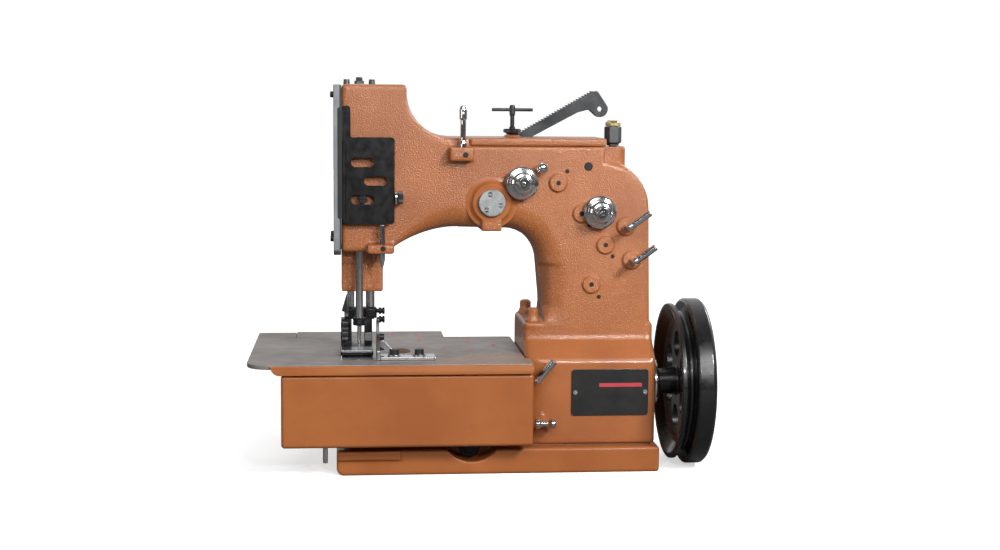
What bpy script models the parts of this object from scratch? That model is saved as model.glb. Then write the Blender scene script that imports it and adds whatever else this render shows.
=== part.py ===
"""Bag closer sewing machine: a cast arm over a flat work table, with a handwheel.

X runs along the arm, from the needle at -X to the handwheel at +X. Y runs away from the
operator, and Z is up. The origin is at the middle of the base's underside. Every size below
is in millimetres; the shape functions turn it into metres.
"""
import math

import bmesh
import bpy
from mathutils import Matrix, Vector

MM = 0.001
GAP = 0.3            # between pieces that touch
RUN = 0.4            # radial clearance of what turns or slides

# Base
BASE_X = 157.0       # half length
BASE_FRONT = -68.0
BASE_BACK = 72.0
BASE_HEIGHT = 25.0
BASE_WALL = 8.0
BASE_RIB = 16.0      # cross rib in the middle

# Lower body of the casting, which holds the main shaft
BODY_LEFT = 26.0
BODY_RIGHT = 154.0
BODY_FRONT = -56.0
BODY_BACK = 56.0
BODY_SLOPE_LOW = 109.0
BODY_SLOPE_HIGH = 127.5
BLOCK_TOP = 143.3
BODY_WALL = 6.0

# Arm, column and head
ARM_DEPTH = 70.0
ARM_WALL = 7.0
COLUMN_LEFT = 44.0
COLUMN_RIGHT = 148.5
HEAD_LEFT = -152.0
HEAD_RIGHT = -92.0
HEAD_TOP = 374.0
HEAD_BOTTOM = 213.0
ARM_TOP = 323.5
ARCH_TOP = 236.0
COVER_THICK = 8.0
COVER_LEFT = -28.4
COVER_RIGHT = COLUMN_RIGHT - 43.2

# Work table and bed
TABLE_TOP = 111.6
TABLE_THICK = 4.0
TABLE_LEFT = -242.0
TABLE_RIGHT = 25.0
TABLE_FRONT = -93.0
TABLE_BACK = 84.0
FLANGE_RIGHT = 30.0
FLANGE_LEFT = -209.0
FLANGE_HEIGHT = 9.6
BED_LEFT = -150.0
BED_FRONT = -44.0
BED_BACK = 58.0
BED_WALL = 5.0

# Swinging front cover
FRONT_Y = -90.0
FRONT_DEPTH = 26.0
FRONT_BOTTOM = 31.8
FRONT_TOP = TABLE_TOP - 10.0
FRONT_SHEET = 2.0
HINGE_X = -167.7
HINGE_Y = -72.0
HINGE_R = 2.4

# Main shaft, crank and handwheel
SHAFT_Y = -28.0
SHAFT_Z = 83.4
SHAFT_R = 8.0
WHEEL_R = 82.0
WHEEL_LEFT = 171.0
WHEEL_RIGHT = 204.0
CRANK_R = 19.0

# Needle lever, link and needle bar
LEVER_X = -7.0
LEVER_Z = 260.9
LEVER_TILT = math.radians(8.0)
LEVER_LEFT = 128.9
LEVER_RIGHT = (COLUMN_LEFT + COLUMN_RIGHT) / 2 - 11.25
LEVER_Y = (-8.0, 4.0)
LEVER_SHAFT_R = 6.0
NEEDLE_Y = -22.0
NEEDLE_BAR_R = 3.6
NEEDLE_BAR_LOW = TABLE_TOP + 27.9
NEEDLE_BAR_HIGH = 318.0
NEEDLE_TIP = TABLE_TOP - 11.6

# Presser bar and foot
PRESSER_X = -123.6
PRESSER_Y = 10.0
PRESSER_R = 4.4
GUIDE_X = -142.8
GUIDE_R = 3.5
PRESSER_LOW = TABLE_TOP + 41.8
PRESSER_HIGH = 288.0
GUIDE_BLOCK_LOW = PRESSER_LOW + 18.0
FOOT_LOW = TABLE_TOP + 0.6
STOP_HEIGHT = 9.4

# Pressure screw, lifter and oil cup on top of the arm
SCREW_X = 17.0
SCREW_Y = 8.0
SCREW_R = 3.0
LIFTER_X = 8.0
LIFTER_Z = 300.0
LIFTER_Y = (18.0, 25.0)
OIL_X = COLUMN_RIGHT - 33.3
OIL_Y = -10.0

# Thread tensions on the arm's front face
TENSIONS = {"left": (21.8, 280.5), "right": (COLUMN_RIGHT - 50.2, 252.5)}
TENSION_R = 16.0
GUIDE_PINS = {"upper": (COLUMN_RIGHT - 22.9, 238.8), "lower": (COLUMN_RIGHT - 16.9, 205.6)}

# Values worked out from the sizes above
ARM_FRONT = -ARM_DEPTH / 2
ARM_BACK = ARM_DEPTH / 2
COVER_BOTTOM = ARM_TOP - COVER_THICK
TABLE_LOW = TABLE_TOP - TABLE_THICK
NEEDLE_X = LEVER_X - LEVER_LEFT * math.cos(LEVER_TILT)
LEVER_LEFT_Z = LEVER_Z - LEVER_LEFT * math.sin(LEVER_TILT)
ROD_X = LEVER_X + LEVER_RIGHT * math.cos(LEVER_TILT)
ROD_TOP_Z = LEVER_Z + LEVER_RIGHT * math.sin(LEVER_TILT)
CRANK_THROW = LEVER_RIGHT * math.sin(LEVER_TILT)
CRANK_PIN_Z = SHAFT_Z + CRANK_THROW
NEEDLE_PIN_Z = HEAD_BOTTOM + 15.0

PAINTS = {
    "orange_paint": ((0.45, 0.17, 0.06), 0.45, 0.1),
    "table_metal": ((0.34, 0.31, 0.29), 0.4, 0.6),
    "grey_paint": ((0.30, 0.31, 0.33), 0.45, 0.4),
    "black_paint": ((0.02, 0.02, 0.022), 0.35, 0.2),
    "chrome": ((0.75, 0.75, 0.76), 0.15, 1.0),
    "steel": ((0.55, 0.55, 0.56), 0.3, 1.0),
    "black_oxide": ((0.05, 0.05, 0.055), 0.4, 0.8),
    "brass": ((0.75, 0.55, 0.22), 0.25, 1.0),
}


def collection(name):
    """Make a collection in the scene."""
    made = bpy.data.collections.new(name)
    bpy.context.scene.collection.children.link(made)
    return made


def paint(name):
    """Make one Principled material from its colour, roughness and metallic value."""
    colour, roughness, metallic = PAINTS[name]
    made = bpy.data.materials.new(name)
    made.use_nodes = True
    shader = made.node_tree.nodes["Principled BSDF"]
    shader.inputs["Base Color"].default_value = (*colour, 1.0)
    shader.inputs["Roughness"].default_value = roughness
    shader.inputs["Metallic"].default_value = metallic
    return made


for old in list(bpy.data.objects):
    bpy.data.objects.remove(old, do_unlink=True)
PARTS = collection("bag_closer_sewing_machine")
CUTTERS = collection("cutters")
PAINT = {name: paint(name) for name in PAINTS}


# Shape functions. Each one makes an object among the cutters; part() makes it a sub-part.

def place(name, mesh, origin, turn=None):
    """Put a mesh in the scene with its origin at a place given in millimetres."""
    made = bpy.data.objects.new(name, mesh)
    CUTTERS.objects.link(made)
    made.matrix_world = Matrix.Translation(Vector(origin) * MM) @ (turn or Matrix())
    made.hide_render = True
    made.display_type = "WIRE"
    return made


def from_bmesh(name, shape, origin, turn=None):
    """Turn a bmesh into a placed object."""
    mesh = bpy.data.meshes.new(name)
    shape.to_mesh(mesh)
    shape.free()
    return place(name, mesh, origin, turn)


def box(name, xs, ys, zs):
    """Make a box between two limits on each axis."""
    shape = bmesh.new()
    bmesh.ops.create_cube(shape, size=1.0)
    size = Vector((xs[1] - xs[0], ys[1] - ys[0], zs[1] - zs[0])) * MM
    bmesh.ops.scale(shape, vec=size, verts=shape.verts)
    middle = (sum(xs) / 2, sum(ys) / 2, sum(zs) / 2)
    return from_bmesh(name, shape, middle)


def rod(name, start, end, radius, sides=16):
    """Make a cylinder between two points."""
    start, end = Vector(start), Vector(end)
    shape = bmesh.new()
    bmesh.ops.create_cone(shape, cap_ends=True, segments=sides, radius1=radius * MM,
                          radius2=radius * MM, depth=(end - start).length * MM)
    turn = (end - start).to_track_quat("Z", "Y").to_matrix().to_4x4()
    return from_bmesh(name, shape, (start + end) / 2, turn)


def ball(name, centre, radius):
    """Make a sphere."""
    shape = bmesh.new()
    bmesh.ops.create_uvsphere(shape, u_segments=14, v_segments=8, radius=radius * MM)
    return from_bmesh(name, shape, centre)


def rounded(corners, steps=4):
    """Round the corners of an outline: each corner is (u, v) or (u, v, radius)."""
    points = []
    for index, corner in enumerate(corners):
        here = Vector(corner[:2])
        radius = corner[2] if len(corner) > 2 else 0.0
        if radius == 0.0:
            points.append(tuple(here))
            continue
        back = (Vector(corners[index - 1][:2]) - here).normalized()
        ahead = (Vector(corners[(index + 1) % len(corners)][:2]) - here).normalized()
        half = back.angle(ahead) / 2
        first = here + back * (radius / math.tan(half))
        last = here + ahead * (radius / math.tan(half))
        centre = here + (back + ahead).normalized() * (radius / math.sin(half))
        start = first - centre
        sweep = start.angle_signed(last - centre)
        for step in range(steps + 1):
            turn = Matrix.Rotation(-sweep * step / steps, 2)
            points.append(tuple(centre + turn @ start))
    return points


def arc(centre, radius, first, last, steps):
    """Points along an arc, with its angles in degrees."""
    points = []
    for step in range(steps + 1):
        angle = math.radians(first + (last - first) * step / steps)
        points.append((centre[0] + radius * math.cos(angle), centre[1] + radius * math.sin(angle)))
    return points


PLANES = {
    "xy": Matrix(((1, 0, 0, 0), (0, 1, 0, 0), (0, 0, 1, 0), (0, 0, 0, 1))),
    "xz": Matrix(((1, 0, 0, 0), (0, 0, -1, 0), (0, 1, 0, 0), (0, 0, 0, 1))),
    "yz": Matrix(((0, 0, 1, 0), (1, 0, 0, 0), (0, 1, 0, 0), (0, 0, 0, 1))),
}


def plate(name, outline, plane, limits):
    """Thicken an outline in one of the three planes between two limits on the third axis."""
    curve = bpy.data.curves.new(name, "CURVE")
    curve.dimensions = "2D"
    curve.fill_mode = "BOTH"
    curve.extrude = (limits[1] - limits[0]) / 2 * MM
    spline = curve.splines.new("POLY")
    spline.points.add(len(outline) - 1)
    for point, (u, v) in zip(spline.points, outline):
        point.co = (u * MM, v * MM, 0.0, 1.0)
    spline.use_cyclic_u = True
    middle = PLANES[plane] @ Vector((0, 0, sum(limits) / 2))
    if plane == "xz":
        middle = -middle
    flat = place(name + "_outline", curve, middle, PLANES[plane])
    bpy.context.view_layer.update()
    mesh = bpy.data.meshes.new_from_object(flat.evaluated_get(bpy.context.evaluated_depsgraph_get()))
    world = flat.matrix_world.copy()
    bpy.data.objects.remove(flat, do_unlink=True)
    shape = bmesh.new()
    shape.from_mesh(mesh)
    bmesh.ops.remove_doubles(shape, verts=shape.verts, dist=0.01 * MM)
    bmesh.ops.dissolve_limit(shape, angle_limit=0.001, verts=shape.verts, edges=shape.edges)
    shape.to_mesh(mesh)
    shape.free()
    made = place(name, mesh, (0, 0, 0))
    made.matrix_world = world
    return made


def turned(name, profile, origin, axis, steps=20):
    """Turn a profile of (radius, height) points, given top to bottom, about an axis."""
    mesh = bpy.data.meshes.new(name)
    verts = [(radius * MM, 0.0, height * MM) for radius, height in profile]
    mesh.from_pydata(verts, [(i, i + 1) for i in range(len(verts) - 1)], [])
    turn = Vector(axis).to_track_quat("Z", "Y").to_matrix().to_4x4()
    made = place(name, mesh, origin, turn)
    screw = made.modifiers.new("turn", "SCREW")
    screw.steps = screw.render_steps = steps
    screw.use_merge_vertices = True
    screw.merge_threshold = 0.01 * MM
    return made


def ring(name, origin, axis, inner, outer, low, high, steps=16):
    """Turn a plain ring with a bore."""
    profile = [(inner, high), (outer, high), (outer, low), (inner, low), (inner, high)]
    return turned(name, profile, origin, axis, steps)


def soften(target, width, segments=1, angle=35.0):
    """Round every sharp edge."""
    bevel = target.modifiers.new("soften", "BEVEL")
    bevel.width = width * MM
    bevel.segments = segments
    bevel.limit_method = "ANGLE"
    bevel.angle_limit = math.radians(angle)
    return target


def combine(target, operation, tools):
    """Cut tools from a shape, or join them to it."""
    for tool in tools:
        step = target.modifiers.new(tool.name, "BOOLEAN")
        step.operation = operation
        step.solver = "EXACT"
        step.object = tool
    return target


def cut(target, *tools):
    return combine(target, "DIFFERENCE", tools)


def join(target, *tools):
    return combine(target, "UNION", tools)


def part(name, shape, colour):
    """Make a shape one of the object's sub-parts."""
    CUTTERS.objects.unlink(shape)
    PARTS.objects.link(shape)
    shape.name = name
    shape.hide_render = False
    shape.display_type = "TEXTURED"
    shape.data.materials.clear()
    shape.data.materials.append(PAINT[colour])
    shape.data.shade_smooth()
    shape.data.set_sharp_from_angle(angle=math.radians(35.0))
    return shape


# Casting: base, lower body, column, arm and head

def make_base():
    """Flat base, open below, with a round cut-out over the drain plug."""
    low_corner = 4.0
    front = [(-BASE_X + low_corner, 0), (BASE_X, 0), (BASE_X, BASE_HEIGHT),
             (-BASE_X, BASE_HEIGHT), (-BASE_X, low_corner)]
    base = plate("base", front, "xz", (BASE_FRONT, BASE_BACK))
    pad = box("base_pad", (-BASE_X, -96), (BASE_FRONT - 3, BASE_FRONT + 8), (15.5, BASE_HEIGHT - 0.5))
    hollows = []
    for side in (-1, 1):
        limits = sorted((side * BASE_RIB / 2, side * (BASE_X - BASE_WALL)))
        hollows.append(box("base_hollow", limits, (-34, BASE_BACK - BASE_WALL), (-1, BASE_HEIGHT - BASE_WALL)))
    cutout = rod("base_cutout", (-26.7, BASE_FRONT - 9, 42.6), (-26.7, BED_FRONT - 2, 42.6), 30.5, 32)
    part("base", cut(join(soften(base, 1.5), pad), *hollows, cutout), "orange_paint")


def arm_outline():
    """Side outline of the arm, column and head, clockwise from the head's lower left."""
    neck = arc((-46, 367), 43.5, 172, 270, 8)
    shoulder = arc((COLUMN_RIGHT - 45.5, 256), 45.5, 62, 0, 6)
    throat = arc((6, 200), 35.0, 10, 80, 6)
    belly = arc((-38, 119.5), 116.5, 88, 126.5, 6)
    return ([(HEAD_LEFT, HEAD_BOTTOM), (HEAD_LEFT, HEAD_TOP), (HEAD_RIGHT, HEAD_TOP)] + neck
            + [(COVER_RIGHT - 1, ARM_TOP), (COVER_RIGHT - 1, 301)] + shoulder
            + [(BODY_RIGHT - 2.5, BODY_SLOPE_HIGH), (COLUMN_LEFT + 2, BODY_SLOPE_HIGH),
               (COLUMN_LEFT + 1, 158)] + throat + belly)


def make_main_frame():
    """The hollow casting that carries everything above the base."""
    arm = soften(plate("main_frame", arm_outline(), "xz", (ARM_FRONT, ARM_BACK)), 3.5, 2)
    side = [(BODY_FRONT, BASE_HEIGHT + GAP), (BODY_FRONT, BODY_SLOPE_LOW),
            (ARM_FRONT, BODY_SLOPE_HIGH), (ARM_FRONT, BLOCK_TOP), (52, BLOCK_TOP),
            (BODY_BACK, 136), (BODY_BACK, BASE_HEIGHT + GAP)]
    body = soften(plate("lower_body", side[::-1], "yz", (BODY_LEFT, BODY_RIGHT)), 2.5)
    body_hollow = box("body_hollow", (BODY_LEFT + BODY_WALL, BODY_RIGHT - BODY_WALL),
                      (BODY_FRONT + BODY_WALL, BODY_BACK + 5), (BASE_HEIGHT - 5, BODY_SLOPE_LOW + 3))
    column_hollow = box("column_hollow", (COLUMN_LEFT + 12, COLUMN_RIGHT - 18),
                        (ARM_FRONT + ARM_WALL, ARM_BACK - ARM_WALL), (BODY_SLOPE_LOW, 278))
    arm_hollow = box("arm_hollow", (HEAD_RIGHT - 12, COLUMN_RIGHT - 45),
                     (ARM_FRONT + ARM_WALL, ARM_BACK - ARM_WALL), (ARCH_TOP + 4.3, COVER_BOTTOM - 5))
    neck_hollow = box("neck_hollow", (HEAD_RIGHT - 12, HEAD_RIGHT + 22),
                      (ARM_FRONT + ARM_WALL, ARM_BACK - ARM_WALL), (ARCH_TOP + 0.5, COVER_BOTTOM - 15))
    cover_seat = box("cover_seat", (COVER_LEFT, COLUMN_RIGHT + 5), (ARM_FRONT - 5, ARM_BACK + 5),
                     (COVER_BOTTOM, ARM_TOP + 5))
    top_opening = box("top_opening", (COVER_LEFT + 8, COVER_RIGHT - 9),
                      (ARM_FRONT + 9, ARM_BACK - 9), (300, ARM_TOP))
    head_hollow = box("head_hollow", (HEAD_LEFT - 5, HEAD_RIGHT - 8),
                      (ARM_FRONT + ARM_WALL, ARM_BACK - ARM_WALL), (HEAD_BOTTOM + 6, HEAD_TOP - 7))
    oil_boss = rod("oil_boss", (OIL_X + 3.5, OIL_Y, 290), (OIL_X + 3.5, OIL_Y, COVER_BOTTOM), 9)
    pivot_boss = rod("pivot_boss", (LEVER_X, ARM_FRONT + 3, LEVER_Z),
                     (LEVER_X, ARM_FRONT - 5, LEVER_Z), 19.2, 32)
    pivot_tab = box("pivot_tab", (LEVER_X - 9.8, LEVER_X + 9.8), (ARM_FRONT - 5, ARM_BACK - 1),
                    (ARCH_TOP - 2.7, LEVER_Z))
    post_lug = box("post_lug", (-48.4, -25.5), (ARM_FRONT - 13, ARM_FRONT + 2), (301.3, 314.7))
    rod_lug = box("rod_lug", (-127, -101.4), (ARM_FRONT - 14, ARM_FRONT + 2), (HEAD_BOTTOM - 0.9, 221))
    guide_block = box("guide_block", (HEAD_LEFT, -111.3), (NEEDLE_Y + 10, ARM_BACK - 10),
                      (GUIDE_BLOCK_LOW, HEAD_BOTTOM + 3))
    frame = join(arm, body, oil_boss, pivot_boss, pivot_tab, post_lug, rod_lug, guide_block)
    frame = cut(frame, cover_seat, body_hollow, column_hollow, arm_hollow, neck_hollow, top_opening,
                head_hollow)
    holes = [
        rod("shaft_hole", (BODY_LEFT - 5, SHAFT_Y, SHAFT_Z), (BODY_RIGHT + 5, SHAFT_Y, SHAFT_Z), 13.3, 24),
        rod("lever_hole", (LEVER_X, ARM_FRONT - 9, LEVER_Z), (LEVER_X, ARM_BACK + 5, LEVER_Z),
            LEVER_SHAFT_R + GAP),
        rod("needle_bar_hole", (NEEDLE_X, NEEDLE_Y, HEAD_BOTTOM - 9), (NEEDLE_X, NEEDLE_Y, HEAD_BOTTOM + 12),
            NEEDLE_BAR_R + RUN),
        rod("presser_hole", (PRESSER_X, PRESSER_Y, GUIDE_BLOCK_LOW - 5),
            (PRESSER_X, PRESSER_Y, HEAD_BOTTOM + 9), PRESSER_R + RUN),
        rod("guide_hole", (GUIDE_X, PRESSER_Y, GUIDE_BLOCK_LOW - 5),
            (GUIDE_X, PRESSER_Y, HEAD_BOTTOM + 9), GUIDE_R + RUN),
        rod("post_hole", (-35.5, ARM_FRONT - 7, 290), (-35.5, ARM_FRONT - 7, 330), 3.5 + GAP),
        rod("guide_rod_hole", (-112.9, ARM_FRONT - 8, HEAD_BOTTOM - 9), (-112.9, ARM_FRONT - 8, 230),
            2.7 + GAP),
        rod("oil_hole", (OIL_X, OIL_Y, 296), (OIL_X, OIL_Y, COVER_BOTTOM + 5), 4.0 + GAP),
        box("rear_window", (COLUMN_LEFT + 18, COLUMN_RIGHT - 24), (ARM_BACK - 12, ARM_BACK + 5),
            (160, 272)),
    ]
    for x, z in TENSIONS.values():
        holes.append(rod("tension_hole", (x, ARM_FRONT - 5, z), (x, ARM_FRONT + 6, z), 3.0 + GAP))
    for x, z in GUIDE_PINS.values():
        holes.append(rod("pin_hole", (x, ARM_FRONT - 5, z), (x, ARM_FRONT + 6, z), 2.5 + GAP))
    part("main_frame", cut(frame, *holes), "orange_paint")


def make_covers():
    """Plates that close the casting."""
    top = soften(box("top_cover", (COVER_LEFT + GAP, COVER_RIGHT), (ARM_FRONT, ARM_BACK),
                     (COVER_BOTTOM + GAP, ARM_TOP)), 1.2)
    seat = rod("screw_seat", (SCREW_X, SCREW_Y, ARM_TOP - 1), (SCREW_X, SCREW_Y, ARM_TOP + 2), 8.0)
    screw_hole = rod("screw_hole", (SCREW_X, SCREW_Y, 300), (SCREW_X, SCREW_Y, 340), SCREW_R + RUN)
    slot = box("lifter_slot", (10, 74), (LIFTER_Y[0] - 1, LIFTER_Y[1] + 1), (300, 330))
    part("top_cover", cut(join(top, seat), screw_hole, slot), "orange_paint")
    face = [(-46, HEAD_BOTTOM + 3), (-46, HEAD_TOP - 0.5), (37, HEAD_TOP - 0.5), (37, HEAD_BOTTOM - 2.5),
            (-40, HEAD_BOTTOM - 2.5)]
    shape = plate("face_plate", face[::-1], "yz", (HEAD_LEFT - 7.5, HEAD_LEFT - GAP))
    part("face_plate", soften(shape, 0.8), "grey_paint")
    rear = box("rear_cover", (COLUMN_LEFT + 10, COLUMN_RIGHT - 16), (ARM_BACK + GAP, ARM_BACK + 4), (152, 280))
    part("rear_cover", soften(rear, 1.0), "orange_paint")


def make_head_trim():
    """Guard sheet, its bolts, the oil plug on the head and the two rods in their lugs."""
    outline = rounded([(-147.5, 240.7, 3), (-101.2, 240.7, 3), (-101.2, 323.8, 3), (-143.2, 323.8),
                       (-143.2, 353.6, 2), (-151.7, 353.6, 2), (-151.7, 322), (-147.5, 316)], 3)
    guard = plate("thread_guard", outline[::-1], "xz", (ARM_FRONT - 9, ARM_FRONT - 7))
    slots = []
    for x, z in ((-131.6, 299.8), (-119.1, 282.2), (-131.6, 264.0)):
        outline = rounded([(x - 11.2, z - 4.5, 4.4), (x + 11.2, z - 4.5, 4.4), (x + 11.2, z + 4.5, 4.4),
                           (x - 11.2, z + 4.5, 4.4)])
        slots.append(plate("guard_slot", outline[::-1], "xz", (ARM_FRONT - 12, ARM_FRONT - 4)))
    part("thread_guard", cut(guard, *slots), "black_paint")
    bolt = turned("guard_bolt", [(0, 12.0), (5.5, 12.0), (5.5, 9.3), (2.8, 9.3), (2.8, GAP), (0, GAP)],
                  (-131.6, ARM_FRONT, 264.0), (0, -1, 0), 20)
    part("guard_bolt", bolt, "steel")
    screw = turned("thumb_screw", [(0, 8.2), (6.0, 8.2), (7.0, 7.0), (7.0, 1.0), (6.0, 0), (0, 0)],
                   (-100.8, ARM_FRONT - 8, 266.0), (1, 0, 0), 24)
    part("thumb_screw", screw, "black_oxide")
    plug = turned("head_oil_plug", [(0, 7), (3.2, 7), (4.8, 5), (4.8, GAP), (0, GAP)],
                  (-134.3, 12, HEAD_TOP), (0, 0, 1), 6)
    part("head_oil_plug", plug, "steel")
    part("guide_rod", rod("guide_rod", (-112.9, ARM_FRONT - 8, 196.5), (-112.9, ARM_FRONT - 8, 240), 2.7, 16),
         "chrome")
    post = turned("eye_post", [(0, 354.5), (3.0, 353.5), (3.8, 350), (3.8, 344), (2.8, 341), (3.4, 338),
                               (3.4, 302), (0, 302)], (-35.5, ARM_FRONT - 7, 0), (0, 0, 1), 20)
    part("eye_post", post, "chrome")


# Bed, table and the covers around them

def make_bed():
    """Bed housing under the table, open at the front and on top."""
    low, high = BASE_HEIGHT + GAP, TABLE_LOW - GAP
    bed = box("bed", (BED_LEFT, BODY_LEFT - GAP), (BED_FRONT, BED_BACK), (low, high))
    hollow = box("bed_hollow", (BED_LEFT + BED_WALL, BODY_LEFT - GAP - BED_WALL),
                 (BED_FRONT - 5, BED_BACK - BED_WALL), (low + BED_WALL, high + 5))
    passage = rod("bed_passage", (BODY_LEFT - 12, SHAFT_Y, SHAFT_Z), (BODY_LEFT + 5, SHAFT_Y, SHAFT_Z),
                  SHAFT_R + 4)
    lugs = []
    for bottom in (FRONT_BOTTOM + 4, FRONT_TOP - 16):
        outline = [(BED_LEFT + 3, BED_FRONT + 0.5), (BED_LEFT + 3, BED_FRONT + 6),
                   (BED_LEFT - 1, BED_FRONT + 6), (HINGE_X - 5, HINGE_Y + 4),
                   (HINGE_X - 5, HINGE_Y - 5), (HINGE_X + 5, HINGE_Y - 5)]
        lugs.append(plate("hinge_lug", outline, "xy", (bottom, bottom + 5)))
    pin_hole = rod("pin_hole", (HINGE_X, HINGE_Y, FRONT_BOTTOM - 12), (HINGE_X, HINGE_Y, FRONT_TOP + 8),
                   HINGE_R + GAP, 16)
    looper_hole = rod("looper_hole", (-112, 30, 50), (-112, BED_BACK + 5, 50), 5 + GAP)
    part("bed", cut(join(cut(bed, hollow), *lugs), passage, pin_hole, looper_hole), "orange_paint")
    part("cover_hinge_pin", rod("cover_hinge_pin", (HINGE_X, HINGE_Y, 14),
                                (HINGE_X, HINGE_Y, FRONT_TOP - 3.6), HINGE_R, 16), "chrome")
    plug = turned("drain_plug", [(0, 12), (5, 12), (6, 11), (6, 8), (10.4, 8), (10.4, GAP), (0, GAP)],
                  (-28.6, BED_FRONT - 2, 24.2), (0, -1, 0), 24)
    part("drain_plug", plug, "black_oxide")


def make_front_cover():
    """Sheet-metal cover that swings away on the hinge pin."""
    xs = (FLANGE_LEFT, FLANGE_RIGHT)
    zs = (FRONT_BOTTOM, FRONT_TOP)
    back = FRONT_Y + FRONT_DEPTH
    tray = soften(box("front_cover", xs, (FRONT_Y, back), zs), 1.5)
    inside = box("tray_inside", (xs[0] + FRONT_SHEET, xs[1] - FRONT_SHEET), (FRONT_Y + FRONT_SHEET, back + 5),
                 (zs[0] + FRONT_SHEET, zs[1] - FRONT_SHEET))
    tray = cut(tray, inside)
    ears = []
    for bottom in (FRONT_BOTTOM + 10, FRONT_TOP - 22):
        ears.append(box("hinge_ear", (HINGE_X - 6, HINGE_X + 6), (FRONT_Y + 1, HINGE_Y + 5),
                        (bottom, bottom + 5)))
    hole = rod("ear_hole", (HINGE_X, HINGE_Y, FRONT_BOTTOM + 5), (HINGE_X, HINGE_Y, FRONT_TOP - 5),
               HINGE_R + RUN, 16)
    slot = box("pin_way", (HINGE_X - 7, HINGE_X + 7), (HINGE_Y - 7, back + 5), (zs[0] - 5, zs[0] + 5))
    part("front_cover", cut(join(tray, *ears), hole, slot), "orange_paint")


def make_table():
    """Work table with its front flange, the rear plate and the throat plate."""
    outline = rounded([(TABLE_LEFT, TABLE_FRONT + 2, 22), (FLANGE_RIGHT, TABLE_FRONT + 2, 4),
                       (FLANGE_RIGHT, -58), (TABLE_RIGHT, -58), (TABLE_RIGHT, TABLE_BACK, 3),
                       (-199.3, TABLE_BACK), (-199.3, 119), (TABLE_LEFT + 3, 119, 4)])
    table = plate("work_table", outline, "xy", (TABLE_LOW, TABLE_TOP))
    flange_low = TABLE_TOP - FLANGE_HEIGHT
    edge = [(TABLE_LEFT + 22, TABLE_TOP - 1), (FLANGE_LEFT - 4, flange_low), (FLANGE_RIGHT - 4, flange_low),
            (FLANGE_RIGHT, flange_low + 4), (FLANGE_RIGHT, TABLE_TOP - 0.6), (TABLE_LEFT + 22, TABLE_TOP - 0.6)]
    flange = plate("flange", edge, "xz", (TABLE_FRONT, TABLE_FRONT + 3.4))
    opening = box("throat_opening", (-152.3, -115.7), (-60.3, 40.3), (TABLE_LOW - 5, TABLE_TOP + 5))
    part("work_table", cut(join(table, flange), opening), "table_metal")
    rear = box("rear_table", (-199, -45), (TABLE_BACK + GAP, 124), (TABLE_LOW, TABLE_TOP))
    part("rear_table", soften(rear, 0.8), "table_metal")
    throat = box("throat_plate", (-152, -116), (-60, 40), (TABLE_LOW, TABLE_TOP))
    needle_hole = rod("needle_hole", (NEEDLE_X, NEEDLE_Y, TABLE_LOW - 5), (NEEDLE_X, NEEDLE_Y, TABLE_TOP + 5),
                      3.0, 16)
    feed_slot = box("feed_slot", (NEEDLE_X - 6, NEEDLE_X + 6), (-14, 27), (TABLE_LOW - 5, TABLE_TOP + 5))
    part("throat_plate", cut(throat, needle_hole, feed_slot), "steel")


def make_edge_guide():
    """Guide bar on the table, with the upright plate the bag's edge runs against."""
    high = TABLE_TOP + 3.3
    guide = soften(box("edge_guide", (-115, -62.5), (-66, -46), (TABLE_TOP + GAP, high)), 0.6)
    screws = [rod("guide_screw", (x, -54, high - 1), (x, -54, high + 6.2), 4.6, 20) for x in (-99.0, -76.5)]
    part("edge_guide", join(guide, *screws), "steel")
    finger = soften(box("finger_plate", (-118.4, -115.6), (-66, -24), (TABLE_TOP + GAP, TABLE_TOP + 34.9)),
                    0.6)
    part("finger_plate", finger, "steel")


# Main shaft, crank and handwheel

def make_shafts():
    """Right and left halves of the crankshaft, their bearings and the handwheel."""
    disc_left = ROD_X - 6
    disc_right = ROD_X + 6
    main = turned("main_shaft", [(0, WHEEL_RIGHT + 1), (SHAFT_R - 1, WHEEL_RIGHT + 1), (SHAFT_R, WHEEL_RIGHT),
                                 (SHAFT_R, disc_right + 9), (CRANK_R, disc_right + 9),
                                 (CRANK_R, disc_right), (0, disc_right)], (0, SHAFT_Y, SHAFT_Z), (1, 0, 0))
    part("main_shaft", main, "steel")
    bed_shaft = turned("bed_shaft", [(0, disc_left), (CRANK_R, disc_left), (CRANK_R, disc_left - 9),
                                     (SHAFT_R, disc_left - 9), (SHAFT_R, -60), (15, -60), (15, -68),
                                     (SHAFT_R, -68), (SHAFT_R, -94), (0, -94)],
                       (0, SHAFT_Y, SHAFT_Z), (1, 0, 0))
    part("bed_shaft", bed_shaft, "steel")
    bore = SHAFT_R + RUN
    flange = turned("right_bearing", [(bore, 6), (26, 6), (27, 5), (27, GAP), (13, GAP), (13, -12), (bore, -12),
                                      (bore, 6)], (BODY_RIGHT, SHAFT_Y, SHAFT_Z), (1, 0, 0))
    part("right_bearing", flange, "chrome")
    part("left_bearing", ring("left_bearing", (BODY_LEFT, SHAFT_Y, SHAFT_Z), (1, 0, 0), bore, 13.0,
                              GAP, 16), "brass")
    make_handwheel()


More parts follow.
